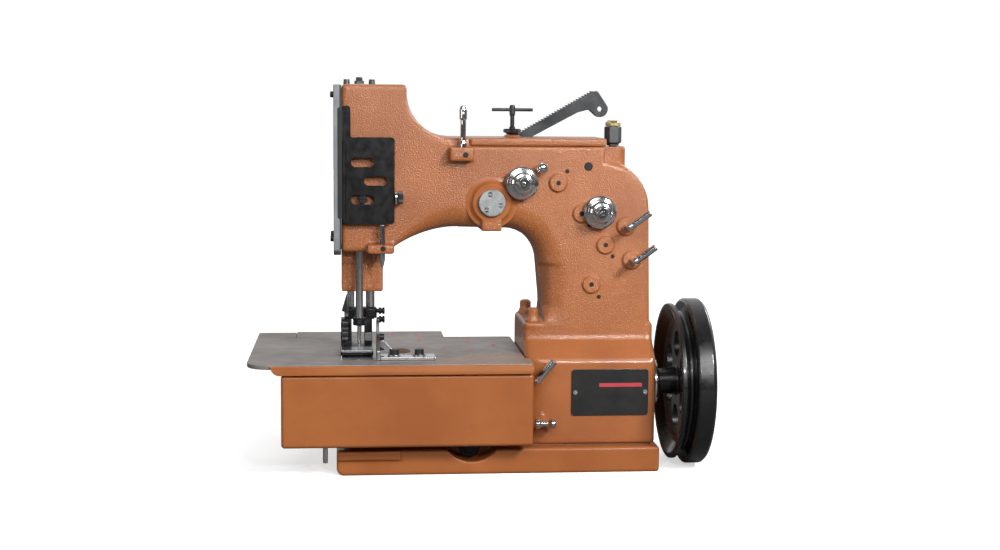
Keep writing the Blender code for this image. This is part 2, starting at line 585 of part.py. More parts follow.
def make_handwheel():
    """Belt pulley and heavy rim in one, with round windows in the web."""
    inner = WHEEL_R - 20
    pulley = WHEEL_R - 5
    left, right = WHEEL_LEFT, WHEEL_RIGHT
    hub = 12.0
    bore = SHAFT_R + GAP
    profile = [(bore, right - 8), (hub, right - 8), (hub, left + 15), (inner, left + 15),
               (inner + 4, right - 2), (inner + 6, right), (WHEEL_R - 3, right), (WHEEL_R, right - 3),
               (WHEEL_R, left + 16), (WHEEL_R - 2, left + 14), (pulley - 9, left + 13),
               (pulley - 9, left + 9), (pulley, left + 4), (pulley, left), (pulley - 5, left),
               (inner, left + 9), (hub, left + 9), (hub, 161), (bore, 161), (bore, right - 8)]
    wheel = turned("handwheel", profile, (0, SHAFT_Y, SHAFT_Z), (1, 0, 0), 36)
    windows = []
    for index in range(6):
        angle = math.radians(60 * index + 30)
        y = SHAFT_Y + 37 * math.cos(angle)
        z = SHAFT_Z + 37 * math.sin(angle)
        windows.append(rod("wheel_window", (left + 4, y, z), (left + 20, y, z), 13, 12))
    part("handwheel", cut(wheel, *windows), "black_paint")


# Needle drive

def tilted(x, z):
    """A point of the lever's own outline, turned with it to its place at rest."""
    cosine, sine = math.cos(LEVER_TILT), math.sin(LEVER_TILT)
    return (LEVER_X + x * cosine - z * sine, LEVER_Z + x * sine + z * cosine)


def make_needle_drive():
    """Lever, link, connecting rod, needle bar and needle."""
    outline = ([tilted(*point) for point in arc((-LEVER_LEFT, 0), 8.5, 90, 270, 6)]
               + [tilted(*point) for point in arc((0, 0), 13, 240, 300, 4)]
               + [tilted(*point) for point in arc((LEVER_RIGHT, 0), 8.5, -90, 90, 6)]
               + [tilted(*point) for point in arc((0, 0), 13, 60, 120, 4)])
    lever = plate("needle_lever", outline, "xz", LEVER_Y)
    ends = [(LEVER_X, LEVER_Z, LEVER_SHAFT_R + RUN), (NEEDLE_X, LEVER_LEFT_Z, 4.0 + RUN),
            (ROD_X, ROD_TOP_Z, 4.0 + RUN)]
    bores = [rod("lever_bore", (x, -20, z), (x, 20, z), radius) for x, z, radius in ends]
    part("needle_lever", cut(lever, *bores), "steel")
    shaft = rod("lever_shaft", (LEVER_X, ARM_FRONT - 5, LEVER_Z), (LEVER_X, ARM_BACK - 2, LEVER_Z),
                LEVER_SHAFT_R)
    part("lever_shaft", shaft, "steel")
    cap = turned("pivot_cap", [(0, 4), (12.4, 4), (13.2, 3.2), (13.2, GAP), (0, GAP)],
                 (LEVER_X, ARM_FRONT - 5, LEVER_Z), (0, -1, 0), 24)
    part("pivot_cap", cap, "steel")
    link_back = LEVER_Y[0] - 0.5
    link_outline = (arc((NEEDLE_X, LEVER_LEFT_Z), 7.5, 180, 0, 6) + arc((NEEDLE_X, NEEDLE_PIN_Z), 7.5, 0, -180, 6))
    link = plate("needle_link", link_outline[::-1], "xz", (link_back - 4.5, link_back))
    link_pin = rod("link_pin", (NEEDLE_X, link_back - 1, LEVER_LEFT_Z), (NEEDLE_X, LEVER_Y[1], LEVER_LEFT_Z), 4.0)
    link_bore = rod("link_bore", (NEEDLE_X, -30, NEEDLE_PIN_Z), (NEEDLE_X, 0, NEEDLE_PIN_Z), 4.6)
    part("needle_link", cut(join(link, link_pin), link_bore), "steel")
    make_connecting_rod()
    bar = rod("needle_bar", (NEEDLE_X, NEEDLE_Y, NEEDLE_BAR_LOW), (NEEDLE_X, NEEDLE_Y, NEEDLE_BAR_HIGH),
              NEEDLE_BAR_R)
    carrier = box("bar_carrier", (NEEDLE_X - 5.5, NEEDLE_X + 5.5), (NEEDLE_Y - 4.5, link_back - 5),
                  (NEEDLE_PIN_Z - 4, NEEDLE_PIN_Z + 6))
    carrier_pin = rod("carrier_pin", (NEEDLE_X, link_back - 7, NEEDLE_PIN_Z), (NEEDLE_X, link_back, NEEDLE_PIN_Z),
                      3.0)
    part("needle_bar", join(bar, carrier, carrier_pin), "chrome")
    clamp = ring("needle_clamp", (NEEDLE_X, NEEDLE_Y, 0), (0, 0, 1), NEEDLE_BAR_R + GAP, 6.5,
                 NEEDLE_BAR_LOW + GAP, NEEDLE_BAR_LOW + 8, 24)
    part("needle_clamp", clamp, "black_oxide")
    profile = [(0, NEEDLE_BAR_LOW - GAP), (2.2, NEEDLE_BAR_LOW - GAP), (2.2, NEEDLE_TIP + 23),
               (1.1, NEEDLE_TIP + 20), (1.1, NEEDLE_TIP + 5), (0, NEEDLE_TIP)]
    needle = turned("needle", profile, (NEEDLE_X, NEEDLE_Y, 0), (0, 0, 1), 12)
    part("needle", needle, "chrome")


def make_connecting_rod():
    """Rod from the lever down to the crank, which carries the crank pin."""
    low = (ROD_X, SHAFT_Y, CRANK_PIN_Z)
    shank_y = ARM_FRONT + ARM_WALL + 6
    big_end = rod("connecting_rod", (ROD_X - 5, *low[1:]), (ROD_X + 4.5, *low[1:]), 10.5)
    sway = LEVER_RIGHT * (1 - math.cos(LEVER_TILT))
    crank_pin = rod("crank_pin", (ROD_X - 6 + GAP, *low[1:]), (ROD_X + 6 - GAP - sway, *low[1:]), 5.0)
    shank = rod("rod_shank", (ROD_X, shank_y, CRANK_PIN_Z + 5), (ROD_X, shank_y, ROD_TOP_Z), 4.5, 16)
    small_end = rod("small_end", (ROD_X, LEVER_Y[0] - 0.6, ROD_TOP_Z), (ROD_X, shank_y - 4, ROD_TOP_Z), 9.0)
    small_pin = rod("small_pin", (ROD_X, LEVER_Y[0] - 3, ROD_TOP_Z), (ROD_X, LEVER_Y[1], ROD_TOP_Z), 4.0)
    part("connecting_rod", join(big_end, crank_pin, shank, small_end, small_pin), "steel")


# Presser, lifter and pressure screw

def make_presser():
    """Presser bar, its guide rod, the clamp across them, the foot and the leaf spring."""
    part("presser_bar", rod("presser_bar", (PRESSER_X, PRESSER_Y, PRESSER_LOW),
                            (PRESSER_X, PRESSER_Y, PRESSER_HIGH), PRESSER_R), "chrome")
    part("presser_guide_rod", rod("presser_guide_rod", (GUIDE_X, PRESSER_Y, PRESSER_LOW),
                                  (GUIDE_X, PRESSER_Y, 232), GUIDE_R, 20), "chrome")
    clamp = soften(box("presser_clamp", (GUIDE_X - 6.5, PRESSER_X + 6.5), (PRESSER_Y - 7, PRESSER_Y + 7),
                       (PRESSER_LOW - 10.4, PRESSER_LOW - GAP)), 1.0)
    stop_low, stop_high = PRESSER_LOW - 1.4, PRESSER_LOW + STOP_HEIGHT
    stop = plate("lift_stop", [(-150.5, stop_low), (-145, stop_low), (-145, stop_high), (-147, stop_high)],
                 "xz", (PRESSER_Y - 3, PRESSER_Y + 3))
    stand = box("stop_stand", (-149.2, -147.2), (PRESSER_Y - 3, PRESSER_Y + 3),
                (stop_low - 2, stop_low + 4))
    relief = rod("stop_relief", (GUIDE_X, PRESSER_Y, stop_low - 2), (GUIDE_X, PRESSER_Y, stop_high + 15),
                 GUIDE_R + GAP, 20)
    part("presser_clamp", join(clamp, stand, cut(stop, relief)), "black_oxide")
    shank_top = PRESSER_LOW - 10.4 - GAP
    sole = soften(box("presser_foot", (-153, -121.5), (-42, PRESSER_Y + 5), (FOOT_LOW, FOOT_LOW + 5)), 1.2)
    shank_right = box("foot_shank_right", (-129.5, -121.8), (PRESSER_Y - 12, PRESSER_Y + 4.5),
                      (FOOT_LOW + 4, shank_top))
    shank_left = box("foot_shank_left", (-152.5, -142), (PRESSER_Y - 12, PRESSER_Y + 4.5),
                     (FOOT_LOW + 4, shank_top))
    way = rod("needle_way", (NEEDLE_X, NEEDLE_Y, FOOT_LOW - 7), (NEEDLE_X, NEEDLE_Y, FOOT_LOW + 13), 4.0, 16)
    feed_way = box("feed_way", (NEEDLE_X - 5, NEEDLE_X + 5), (PRESSER_Y - 3, PRESSER_Y + 9),
                   (FOOT_LOW - 7, FOOT_LOW + 13))
    part("presser_foot", cut(join(sole, shank_right, shank_left), way, feed_way), "black_oxide")
    leaf = soften(box("presser_spring", (PRESSER_X - 7, 44), (SCREW_Y - 6, SCREW_Y + 6),
                      (PRESSER_HIGH + GAP, PRESSER_HIGH + 3.3)), 0.5)
    part("presser_spring", leaf, "steel")


def make_pressure_screw():
    """T-handled screw that loads the leaf spring, and its knurled lock nut."""
    tip = PRESSER_HIGH + 3.6
    profile = [(0, 355), (2.2, 354.4), (2.9, 353), (2.9, 346), (2.0, 344), (2.0, 334), (SCREW_R, 333),
               (SCREW_R, tip), (0, tip)]
    screw = turned("pressure_screw", profile, (SCREW_X, SCREW_Y, 0), (0, 0, 1), 20)
    bar = rod("t_bar", (SCREW_X - 20.4, SCREW_Y, 350.3), (SCREW_X + 20.4, SCREW_Y, 350.3), 1.6, 12)
    part("pressure_screw", join(screw, bar), "black_oxide")
    nut = turned("lock_nut", [(SCREW_R + RUN, 331.4), (8.0, 331.4), (8.7, 330.7), (8.7, 328.3), (8.0, 327.6),
                              (6.0, 327.6), (6.0, ARM_TOP + 2 + GAP), (SCREW_R + RUN, ARM_TOP + 2 + GAP),
                              (SCREW_R + RUN, 331.4)], (SCREW_X, SCREW_Y, 0), (0, 0, 1), 24)
    part("lock_nut", nut, "black_oxide")


def make_lifter():
    """Serrated lever above the arm and the shaft it turns on."""
    outline = [(LIFTER_X - 26, 303), (LIFTER_X - 26, 297), (LIFTER_X + 6, 292), (28, 318), (82, 347.5),
               (93, 350.5), (98.5, 346.5), (106, 344.5), (113, 347.5), (114.6, 353), (103.9, 369.6),
               (99, 368.5), (22, 324), (LIFTER_X - 2, 308)]
    lever = plate("lifter_lever", outline, "xz", LIFTER_Y)
    bore = rod("lifter_bore", (LIFTER_X, 10, LIFTER_Z), (LIFTER_X, 32, LIFTER_Z), 4 + RUN)
    eye = rod("lifter_eye", (106.4, 10, 351.4), (106.4, 32, 351.4), 2.5, 16)
    part("lifter_lever", cut(lever, bore, eye), "black_oxide")
    part("lifter_shaft", rod("lifter_shaft", (LIFTER_X, LIFTER_Y[0] - 3, LIFTER_Z), (LIFTER_X, 27.6, LIFTER_Z), 4),
         "steel")


def make_oil_cup():
    """Hexagonal oil cup and its screwed cap."""
    low = COVER_BOTTOM + GAP
    profile = [(0, 19), (8.6, 19), (8.6, 3), (6.0, 1.5), (6.0, 0), (4.0, 0), (4.0, -14), (0, -14)]
    cup = turned("oil_cup", profile, (OIL_X, OIL_Y, low), (0, 0, 1), 6)
    part("oil_cup", cup, "black_oxide")
    cap = turned("oil_cup_cap", [(0, 25), (5.5, 25), (7.6, 23.6), (7.6, 19 + GAP), (0, 19 + GAP)],
                 (OIL_X, OIL_Y, low), (0, 0, 1), 6)
    part("oil_cup_cap", cap, "brass")


# Thread path on the front face

def make_tensions():
    """Two tension posts with their discs, each with a knurled nut in front."""
    for side, (x, z) in TENSIONS.items():
        profile = [(0, 27), (2.6, 27), (2.6, 16), (9, 16), (9, 14), (TENSION_R - 2, 12), (TENSION_R, 10.5),
                   (TENSION_R, 9), (TENSION_R - 4, 7.5), (6, 6), (6, GAP), (3, GAP), (3, -5), (0, -5)]
        discs = turned("tension_discs_" + side, profile, (x, ARM_FRONT, z), (0, -1, 0))
        part("tension_discs_" + side, discs, "chrome")
        bore = 2.6 + RUN
        nut = [(bore, 26), (5.5, 26), (6.5, 25), (6.5, 22), (11, 20), (11, 16 + GAP), (bore, 16 + GAP),
               (bore, 26)]
        part("tension_nut_" + side, turned("tension_nut_" + side, nut, (x, ARM_FRONT, z), (0, -1, 0)), "chrome")


def thread_pin(name, foot, bend, tip, radius):
    """Thread guide: a stem out of the casting, a ball, and a bar bent away from it."""
    stem = rod(name, foot, bend, 2.5, 14)
    bar = rod("pin_bar", bend, tip, radius, 16)
    part(name, join(stem, ball("pin_ball", bend, radius + 0.4), bar), "chrome")


def make_thread_guides():
    """Ball eyelet, guide pins and spool pin."""
    part("ball_eyelet", join(rod("ball_eyelet", (40.8, ARM_FRONT - GAP, 295.3), (40.8, ARM_FRONT - 12, 295.3), 2.5,
                                 14), ball("eyelet_ball", (40.8, ARM_FRONT - 13, 295.3), 6.0)), "chrome")
    for side, (x, z) in GUIDE_PINS.items():
        thread_pin("guide_pin_" + side, (x, ARM_FRONT + 4, z), (x, ARM_FRONT - 22, z),
                   (x + 19.5, ARM_FRONT - 25, z + 14.5), 3.3)
    thread_pin("cover_guide_pin", (35.5, BODY_FRONT - GAP, 91), (35.5, BODY_FRONT - 14, 91),
               (51.5, BODY_FRONT - 16, 111), 3.5)
    spool = turned("spool_pin", [(0, 20), (4, 20), (5, 19), (5, 16), (2.6, 13), (2.6, 7), (5, 4), (5, 1), (4, 0),
                                 (0, 0)], (34, BODY_FRONT - 12, 49), (1, 0, 0), 20)
    foot = rod("spool_foot", (44, BODY_FRONT - GAP, 49), (44, BODY_FRONT - 12, 49), 2.2, 14)
    part("spool_pin", join(spool, foot), "chrome")


def make_block_bolts():
    """Two shouldered bolts on the block beside the column."""
    for name, y in (("block_bolt_front", -25.0), ("block_bolt_rear", 38.0)):
        profile = [(0, 13.5), (4.8, 13.5), (5.6, 12.7), (5.6, 5), (7.6, 1.5), (7.6, GAP), (0, GAP)]
        part(name, turned(name, profile, (35.5, y, BLOCK_TOP), (0, 0, 1), 24), "orange_paint")


def make_name_plate():
    """Plain plate on the lower body."""
    outline = rounded([(70.9, 54.5, 3), (146.5, 54.5, 3), (146.5, 100.1, 3), (70.9, 100.1, 3)], 3)
    part("name_plate", plate("name_plate", outline[::-1], "xz", (BODY_FRONT - 1.5, BODY_FRONT - GAP)),
         "black_paint")


# Looper and feed under the throat plate

def make_looper_and_feed():
    """Looper on its rocking shaft, and the feed dog on its bar."""
    pivot_x, pivot_z = -112.0, 50.0
    beak = TABLE_TOP - 12.6
    part("looper_shaft", rod("looper_shaft", (pivot_x, -30, pivot_z), (pivot_x, BED_BACK + 3, pivot_z), 5),
         "steel")
    outline = (arc((pivot_x, pivot_z), 9.5, 180, 345, 6)
               + [(pivot_x + 5, beak - 14), (pivot_x, beak - 3), (-127.5, beak), (-128, beak - 1.5),
                  (-118, beak - 7), (-118, beak - 21)])
    looper = plate("looper", outline, "xz", (-20, -16.5))
    collar = rod("looper_collar", (pivot_x, -20, pivot_z), (pivot_x, -8, pivot_z), 9.5)
    bore = rod("looper_bore", (pivot_x, -30, pivot_z), (pivot_x, 0, pivot_z), 5 + RUN)
    part("looper", cut(join(looper, collar), bore), "steel")
    bar = box("feed_bar", (NEEDLE_X - 4, NEEDLE_X + 4), (-11, BED_BACK - 12), (80, 90))
    dog = box("feed_dog", (NEEDLE_X - 4.5, NEEDLE_X + 4.5), (-12, 20), (88, TABLE_TOP - 1))
    part("feed_bar", join(bar, dog), "steel")


make_base()
make_main_frame()
make_covers()
make_head_trim()
make_bed()
make_front_cover()
make_table()
make_edge_guide()
make_shafts()
make_needle_drive()
make_presser()
make_pressure_screw()
make_lifter()
make_oil_cup()
make_tensions()
make_thread_guides()
make_block_bolts()
make_name_plate()
make_looper_and_feed()
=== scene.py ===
import math

import bmesh
import bpy
import numpy as np
from mathutils import Matrix, Vector


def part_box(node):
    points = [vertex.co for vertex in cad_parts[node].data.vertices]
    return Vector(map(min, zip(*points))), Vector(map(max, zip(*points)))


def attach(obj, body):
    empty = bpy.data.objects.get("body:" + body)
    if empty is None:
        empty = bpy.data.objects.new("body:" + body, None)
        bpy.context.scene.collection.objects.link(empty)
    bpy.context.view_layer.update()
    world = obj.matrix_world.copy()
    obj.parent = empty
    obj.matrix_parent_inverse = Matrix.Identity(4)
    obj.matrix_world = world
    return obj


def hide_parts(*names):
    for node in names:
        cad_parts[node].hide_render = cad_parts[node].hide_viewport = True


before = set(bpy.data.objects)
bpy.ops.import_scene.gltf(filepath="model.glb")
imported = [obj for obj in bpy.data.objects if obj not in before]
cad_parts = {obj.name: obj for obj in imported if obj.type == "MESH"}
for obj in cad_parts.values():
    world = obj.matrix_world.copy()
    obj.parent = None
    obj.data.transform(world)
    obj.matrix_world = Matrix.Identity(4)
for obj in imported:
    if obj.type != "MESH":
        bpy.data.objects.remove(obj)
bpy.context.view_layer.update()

mm = 0.001                       # sizes below are in millimetres
world = bpy.context.scene
up, right, front = (0, 0, 1), (1, 0, 0), (0, -1, 0)


def corners(node):
    # lowest and highest corner of a frame part
    low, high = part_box(node)
    return low / mm, high / mm


def middle(node):
    low, high = corners(node)
    return (low + high) / 2


# Colours and finishes

def linear(red, green, blue):
    # screen colour to the shader's linear one
    return tuple((v / 255 / 12.92) if v < 10 else ((v / 255 + 0.055) / 1.055) ** 2.4
                 for v in (red, green, blue))


class Finish:
    # one Principled material, and short calls for the nodes that feed it
    def __init__(self, name, slot, colour, roughness, metallic=0.0, coat=0.0):
        self.slot = slot
        self.material = bpy.data.materials.new(name)
        self.material.use_nodes = True
        self.tree = self.material.node_tree
        self.shader = self.tree.nodes["Principled BSDF"]
        self.shader.inputs["Base Color"].default_value = (*colour, 1)
        self.shader.inputs["Roughness"].default_value = roughness
        self.shader.inputs["Metallic"].default_value = metallic
        self.shader.inputs["Coat Weight"].default_value = coat
        self.coords = self.add("ShaderNodeTexCoord").outputs["Object"]
        self.height = None

    def add(self, kind, **inputs):
        node = self.tree.nodes.new(kind)
        for key, value in inputs.items():
            if isinstance(value, bpy.types.NodeSocket):
                self.tree.links.new(value, node.inputs[key])
            else:
                node.inputs[key].default_value = value
        return node

    def stretched(self, x, y, z):
        # the piece's own coordinates, scaled along each axis
        node = self.add("ShaderNodeMapping", Vector=self.coords)
        node.inputs["Scale"].default_value = (x, y, z)
        return node.outputs["Vector"]

    def noise(self, size, detail=3.0, vector=None):
        # size is the width of one blotch
        node = self.add("ShaderNodeTexNoise", Vector=vector or self.coords, Detail=detail)
        node.inputs["Scale"].default_value = 1 / (size * mm)
        return node.outputs["Fac"]

    def spread(self, value, low, high, first=0.0, last=1.0):
        # stretches a band of a pattern over a range
        node = self.add("ShaderNodeMapRange", Value=value)
        node.inputs["From Min"].default_value = low
        node.inputs["From Max"].default_value = high
        node.inputs["To Min"].default_value = first
        node.inputs["To Max"].default_value = last
        return node.outputs["Result"]

    def mixed(self, amount, first, second):
        node = self.add("ShaderNodeMix", Factor=amount)
        node.data_type = "RGBA"
        for index, colour in ((6, first), (7, second)):
            if isinstance(colour, bpy.types.NodeSocket):
                self.tree.links.new(colour, node.inputs[index])
            else:
                node.inputs[index].default_value = (*colour, 1)
        return node.outputs[2]

    def multiplied(self, first, second):
        node = self.add("ShaderNodeMath")
        node.operation = "MULTIPLY"
        self.tree.links.new(first, node.inputs[0])
        self.tree.links.new(second, node.inputs[1])
        return node.outputs[0]

    def raised(self, height, distance, strength=1.0):
        # bumps of a real height, on top of those already there
        node = self.add("ShaderNodeBump", Height=height)
        node.inputs["Distance"].default_value = distance * mm
        if isinstance(strength, bpy.types.NodeSocket):
            self.tree.links.new(strength, node.inputs["Strength"])
        else:
            node.inputs["Strength"].default_value = strength
        if self.height is not None:
            self.tree.links.new(self.height, node.inputs["Normal"])
        self.height = node.outputs["Normal"]
        self.tree.links.new(self.height, self.shader.inputs["Normal"])
        self.tree.links.new(self.height, self.shader.inputs["Coat Normal"])

    def link(self, value, socket):
        self.tree.links.new(value, self.shader.inputs[socket])

    def paintedEdgeLight(self, share):
        # how far a painted highlight lightens the paint along outer edges
        edges = self.add("ShaderNodeNewGeometry").outputs["Pointiness"]
        return self.spread(edges, 0.55, 0.66, 0.0, share)


# the glint colour and the lighter edge colour below are painted highlights
paintLook = {"colour": (172, 101, 52), "deep": (158, 90, 45), "glint": (222, 194, 150), "glintShare": 0.18,
             "dust": (130, 74, 40), "paintedEdgeLight": (206, 142, 98), "edgeLightShare": 0.3, "coatRoughness": 0.18,
             "wrinkleSize": 1.25, "wrinkleHeight": 0.58, "waveSize": 9, "waveHeight": 0.4,
             "smoothBelow": 118.0, "wrinkledAbove": 134.0}


def wrinklePaint(name, wrinkled):
    # stove enamel: hammered above the lower body, satin below, with painted glints on the wrinkle ridges and
    # a painted highlight along outer edges
    look = paintLook
    paint = Finish(name, "orange_paint", linear(*look["colour"]), 0.45, 0.0, 1.0 if wrinkled else 0.3)
    paint.shader.inputs["Specular IOR Level"].default_value = 0.3
    paint.shader.inputs["Coat Roughness"].default_value = look["coatRoughness"]
    broad = paint.spread(paint.noise(60), 0.35, 0.65)
    colour = paint.mixed(broad, linear(*look["colour"]), linear(*look["deep"]))
    dust = paint.spread(paint.noise(8, 5.0), 0.6, 0.75, 0.0, 0.16)
    colour = paint.mixed(dust, colour, linear(*look["dust"]))
    if wrinkled:
        split = paint.add("ShaderNodeSeparateXYZ", Vector=paint.coords)
        share = paint.spread(split.outputs["Z"], look["smoothBelow"] * mm, look["wrinkledAbove"] * mm,
                             0.22, 1.0)
        fine = paint.noise(look["wrinkleSize"], 1.5)
        # painted glints: the ridge tops of the wrinkles get a pale highlight colour
        ridges = paint.spread(fine, 0.56, 0.68, 0.0, look["glintShare"])
        colour = paint.mixed(paint.multiplied(ridges, share), colour, linear(*look["glint"]))
        paint.raised(fine, look["wrinkleHeight"], share)
        paint.raised(paint.noise(look["waveSize"], 2.0), look["waveHeight"], 0.4)
    else:
        paint.raised(paint.noise(1.6, 2.0), 0.06, 0.5)
        paint.raised(paint.noise(26, 2.0), 0.3, 0.25)
    # painted highlight: outer edges lighter, where the lamps catch them
    colour = paint.mixed(paint.paintedEdgeLight(look["edgeLightShare"]), colour, linear(*look["paintedEdgeLight"]))
    paint.link(colour, "Base Color")
    paint.link(paint.spread(paint.noise(6, 4.0), 0.3, 0.7, 0.4, 0.56), "Roughness")
    return paint


def plateMetal():
    # satin grey-beige work surface, ground in one direction
    metal = Finish("tableMetal", "table_metal", linear(150, 142, 137), 0.42, 0.55)
    blotch = metal.spread(metal.noise(60, 4.0), 0.35, 0.65)
    colour = metal.mixed(blotch, linear(156, 148, 143), linear(136, 129, 125))
    scratches = metal.noise(3.0, 4.0, metal.stretched(0.06, 1.0, 1.0))
    colour = metal.mixed(metal.spread(scratches, 0.55, 0.75, 0.0, 0.3), colour, linear(178, 171, 166))
    metal.link(colour, "Base Color")
    metal.raised(scratches, 0.05, 0.5)
    metal.link(metal.spread(metal.noise(18, 5.0), 0.3, 0.7, 0.34, 0.52), "Roughness")
    return metal


def plainPaint(name, slot, colour, shade, roughness, grain, height, metallic=0.0, coat=0.0,
               edgeLightShare=0.3):
    # even paint or oxide with a fine grain, slight blotches and a painted highlight along outer edges
    paint = Finish(name, slot, linear(*colour), roughness, metallic, coat)
    blotch = paint.spread(paint.noise(22, 4.0), 0.35, 0.68)
    tone = paint.mixed(blotch, linear(*colour), linear(*shade))
    # a lighter tone along outer edges: painted highlight
    edgeLightTone = linear(*[min(255, v * 2 + 40) for v in colour])
    paint.link(paint.mixed(paint.paintedEdgeLight(edgeLightShare), tone, edgeLightTone), "Base Color")
    paint.raised(paint.noise(grain, 3.0), height, 0.7)
    paint.link(paint.spread(paint.noise(7, 4.0), 0.3, 0.7, roughness - 0.06, roughness + 0.1), "Roughness")
    return paint


def brightMetal(name, slot, colour, roughness, brushed):
    # plated or ground metal: fine marks and finger-dulled patches
    metal = Finish(name, slot, linear(*colour), roughness, 1.0)
    marks = metal.noise(1.2, 3.0, metal.stretched(0.15, 1.0, 1.0) if brushed else None)
    metal.raised(marks, 0.004, 0.6)
    metal.link(metal.spread(metal.noise(12, 5.0), 0.35, 0.7, roughness, roughness + 0.14), "Roughness")
    tint = metal.spread(metal.noise(5, 3.0), 0.4, 0.75, 0.0, 0.35)
    metal.link(metal.mixed(tint, linear(*colour), linear(*[v * 0.78 for v in colour])), "Base Color")
    return metal


finishes = {
    "wrinkle": wrinklePaint("wrinklePaint", True),
    "satin": wrinklePaint("satinPaint", False),
    "table": plateMetal(),
    "grey": plainPaint("greyPaint", "grey_paint", (144, 147, 150), (130, 133, 137), 0.42, 1.4, 0.05, 0.3),
    "black": plainPaint("blackPaint", "black_paint", (6, 6, 6), (5, 5, 5), 0.34, 1.2, 0.04, 0.0, 0.1),
    "wheel": plainPaint("wheelEnamel", "black_paint", (13, 14, 14), (9, 10, 10), 0.3, 1.6, 0.06, 0.0, 0.6),
    "gloss": plainPaint("plateEnamel", "black_paint", (36, 35, 34), (30, 29, 29), 0.34, 3.0, 0.01, 0.0, 0.2),
    "oxide": plainPaint("blackOxide", "black_oxide", (44, 44, 46), (30, 30, 32), 0.36, 0.9, 0.03, 0.7),
    "cast": plainPaint("castGrey", "steel", (184, 187, 186), (120, 122, 122), 0.34, 1.1, 0.6, 0.85),
    "worn": plainPaint("wornIron", "black_oxide", (70, 72, 73), (46, 48, 50), 0.42, 1.3, 0.2, 0.7),
    "red": plainPaint("redBar", "black_paint", (160, 34, 44), (140, 28, 38), 0.4, 1.5, 0.01),
    "apron": plainPaint("oiledPaint", "orange_paint", (150, 131, 118), (142, 122, 108), 0.42, 2.0, 0.03,
                        edgeLightShare=0.0),
    "joint": plainPaint("jointCompound", "orange_paint", (104, 66, 40), (74, 48, 32), 0.7, 1.4, 0.3),
    # black marks put in holes, slots and the gap beside the face plate: painted shade
    "paintedShade": plainPaint("paintedShadeBlack", "black_paint", (20, 20, 20), (14, 14, 14), 0.6, 1.0, 0.04),
    "chrome": brightMetal("chromePlate", "chrome", (226, 227, 229), 0.09, False),
    "steel": brightMetal("groundSteel", "steel", (176, 177, 178), 0.26, True),
    "brass": brightMetal("yellowBrass", "brass", (252, 226, 164), 0.2, False),
}
print("finishes ready")


# Shapes. Each one is a bmesh in millimetres, and asPiece makes the object.

def turnTo(axis):
    return Vector(axis).to_track_quat("Z", "Y").to_matrix().to_4x4()


def moved(shape, origin, axis=up):
    bmesh.ops.transform(shape, matrix=Matrix.Translation(origin) @ turnTo(axis), verts=shape.verts)
    return shape


def softLine(points, closed=False, steps=5):
    # rounds each corner that has a radius as its third number
    line = []
    for index, point in enumerate(points):
        here = Vector(point[:2])
        if len(point) < 3 or (not closed and index in (0, len(points) - 1)):
            line.append(tuple(here))
            continue
        back = (Vector(points[index - 1][:2]) - here).normalized()
        ahead = (Vector(points[(index + 1) % len(points)][:2]) - here).normalized()
        half = back.angle(ahead) / 2
        reach = point[2] / math.tan(half)
        centre = here + (back + ahead).normalized() * (point[2] / math.sin(half))
        start = here + back * reach - centre
        sweep = start.angle_signed(here + ahead * reach - centre)
        for step in range(steps + 1):
            line.append(tuple(centre + Matrix.Rotation(-sweep * step / steps, 2) @ start))
    return line


def lathe(profile, origin=(0, 0, 0), axis=up, steps=56):
    # turns a profile of radius and height about an axis
    shape = bmesh.new()
    verts = [shape.verts.new((radius, 0, height)) for radius, height in softLine(profile)]
    edges = [shape.edges.new(pair) for pair in zip(verts, verts[1:])]
    bmesh.ops.spin(shape, geom=verts + edges, axis=up, cent=(0, 0, 0), angle=2 * math.pi, steps=steps)
    bmesh.ops.remove_doubles(shape, verts=shape.verts, dist=0.002)
    bmesh.ops.recalc_face_normals(shape, faces=shape.faces)
    return moved(shape, origin, axis)


def rod(radius, long, origin, axis=up, steps=56, start=0):
    # a plain cylinder
    end = start + long
    return lathe([(0, start), (radius, start), (radius, end), (0, end)], origin, axis, steps)


def arc(x, z, radius, angles):
    return [(x + radius * math.cos(a), z + radius * math.sin(a)) for a in angles]


def prism(outline, low, high, plane="xz"):
    # thickens a flat outline
    spread = {"xz": lambda u, v, w: (u, w, v), "xy": lambda u, v, w: (u, v, w),
              "yz": lambda u, v, w: (w, u, v)}[plane]
    shape = bmesh.new()
    line = softLine(outline, True)
    rings = [[shape.verts.new(spread(u, v, w)) for u, v in line] for w in (low, high)]
    shape.faces.new(rings[0])
    shape.faces.new(rings[1][::-1])
    for index in range(len(line)):
        after = (index + 1) % len(line)
        shape.faces.new((rings[0][after], rings[0][index], rings[1][index], rings[1][after]))
    bmesh.ops.recalc_face_normals(shape, faces=shape.faces)
    return shape


def block(low, high):
    shape = bmesh.new()
    bmesh.ops.create_cube(shape, size=1)
    bmesh.ops.scale(shape, vec=Vector(high) - Vector(low), verts=shape.verts)
    bmesh.ops.translate(shape, vec=(Vector(low) + Vector(high)) / 2, verts=shape.verts)
    return shape


def rounder(shape, width, steps=3, angle=30):
    # rounds the sharp edges of a simple shape
    limit = math.radians(angle)
    sharp = [e for e in shape.edges if len(e.link_faces) == 2 and e.calc_face_angle() > limit]
    bmesh.ops.bevel(shape, geom=sharp, offset=width, segments=steps, profile=0.5, affect="EDGES",
                    clamp_overlap=True)
    return shape


def slotOutline(x, z, halfWidth, halfHeight):
    # a long hole with round ends
    radius = min(halfWidth, halfHeight) * 0.98
    return [(x - halfWidth, z - halfHeight, radius), (x + halfWidth, z - halfHeight, radius),
            (x + halfWidth, z + halfHeight, radius), (x - halfWidth, z + halfHeight, radius)]


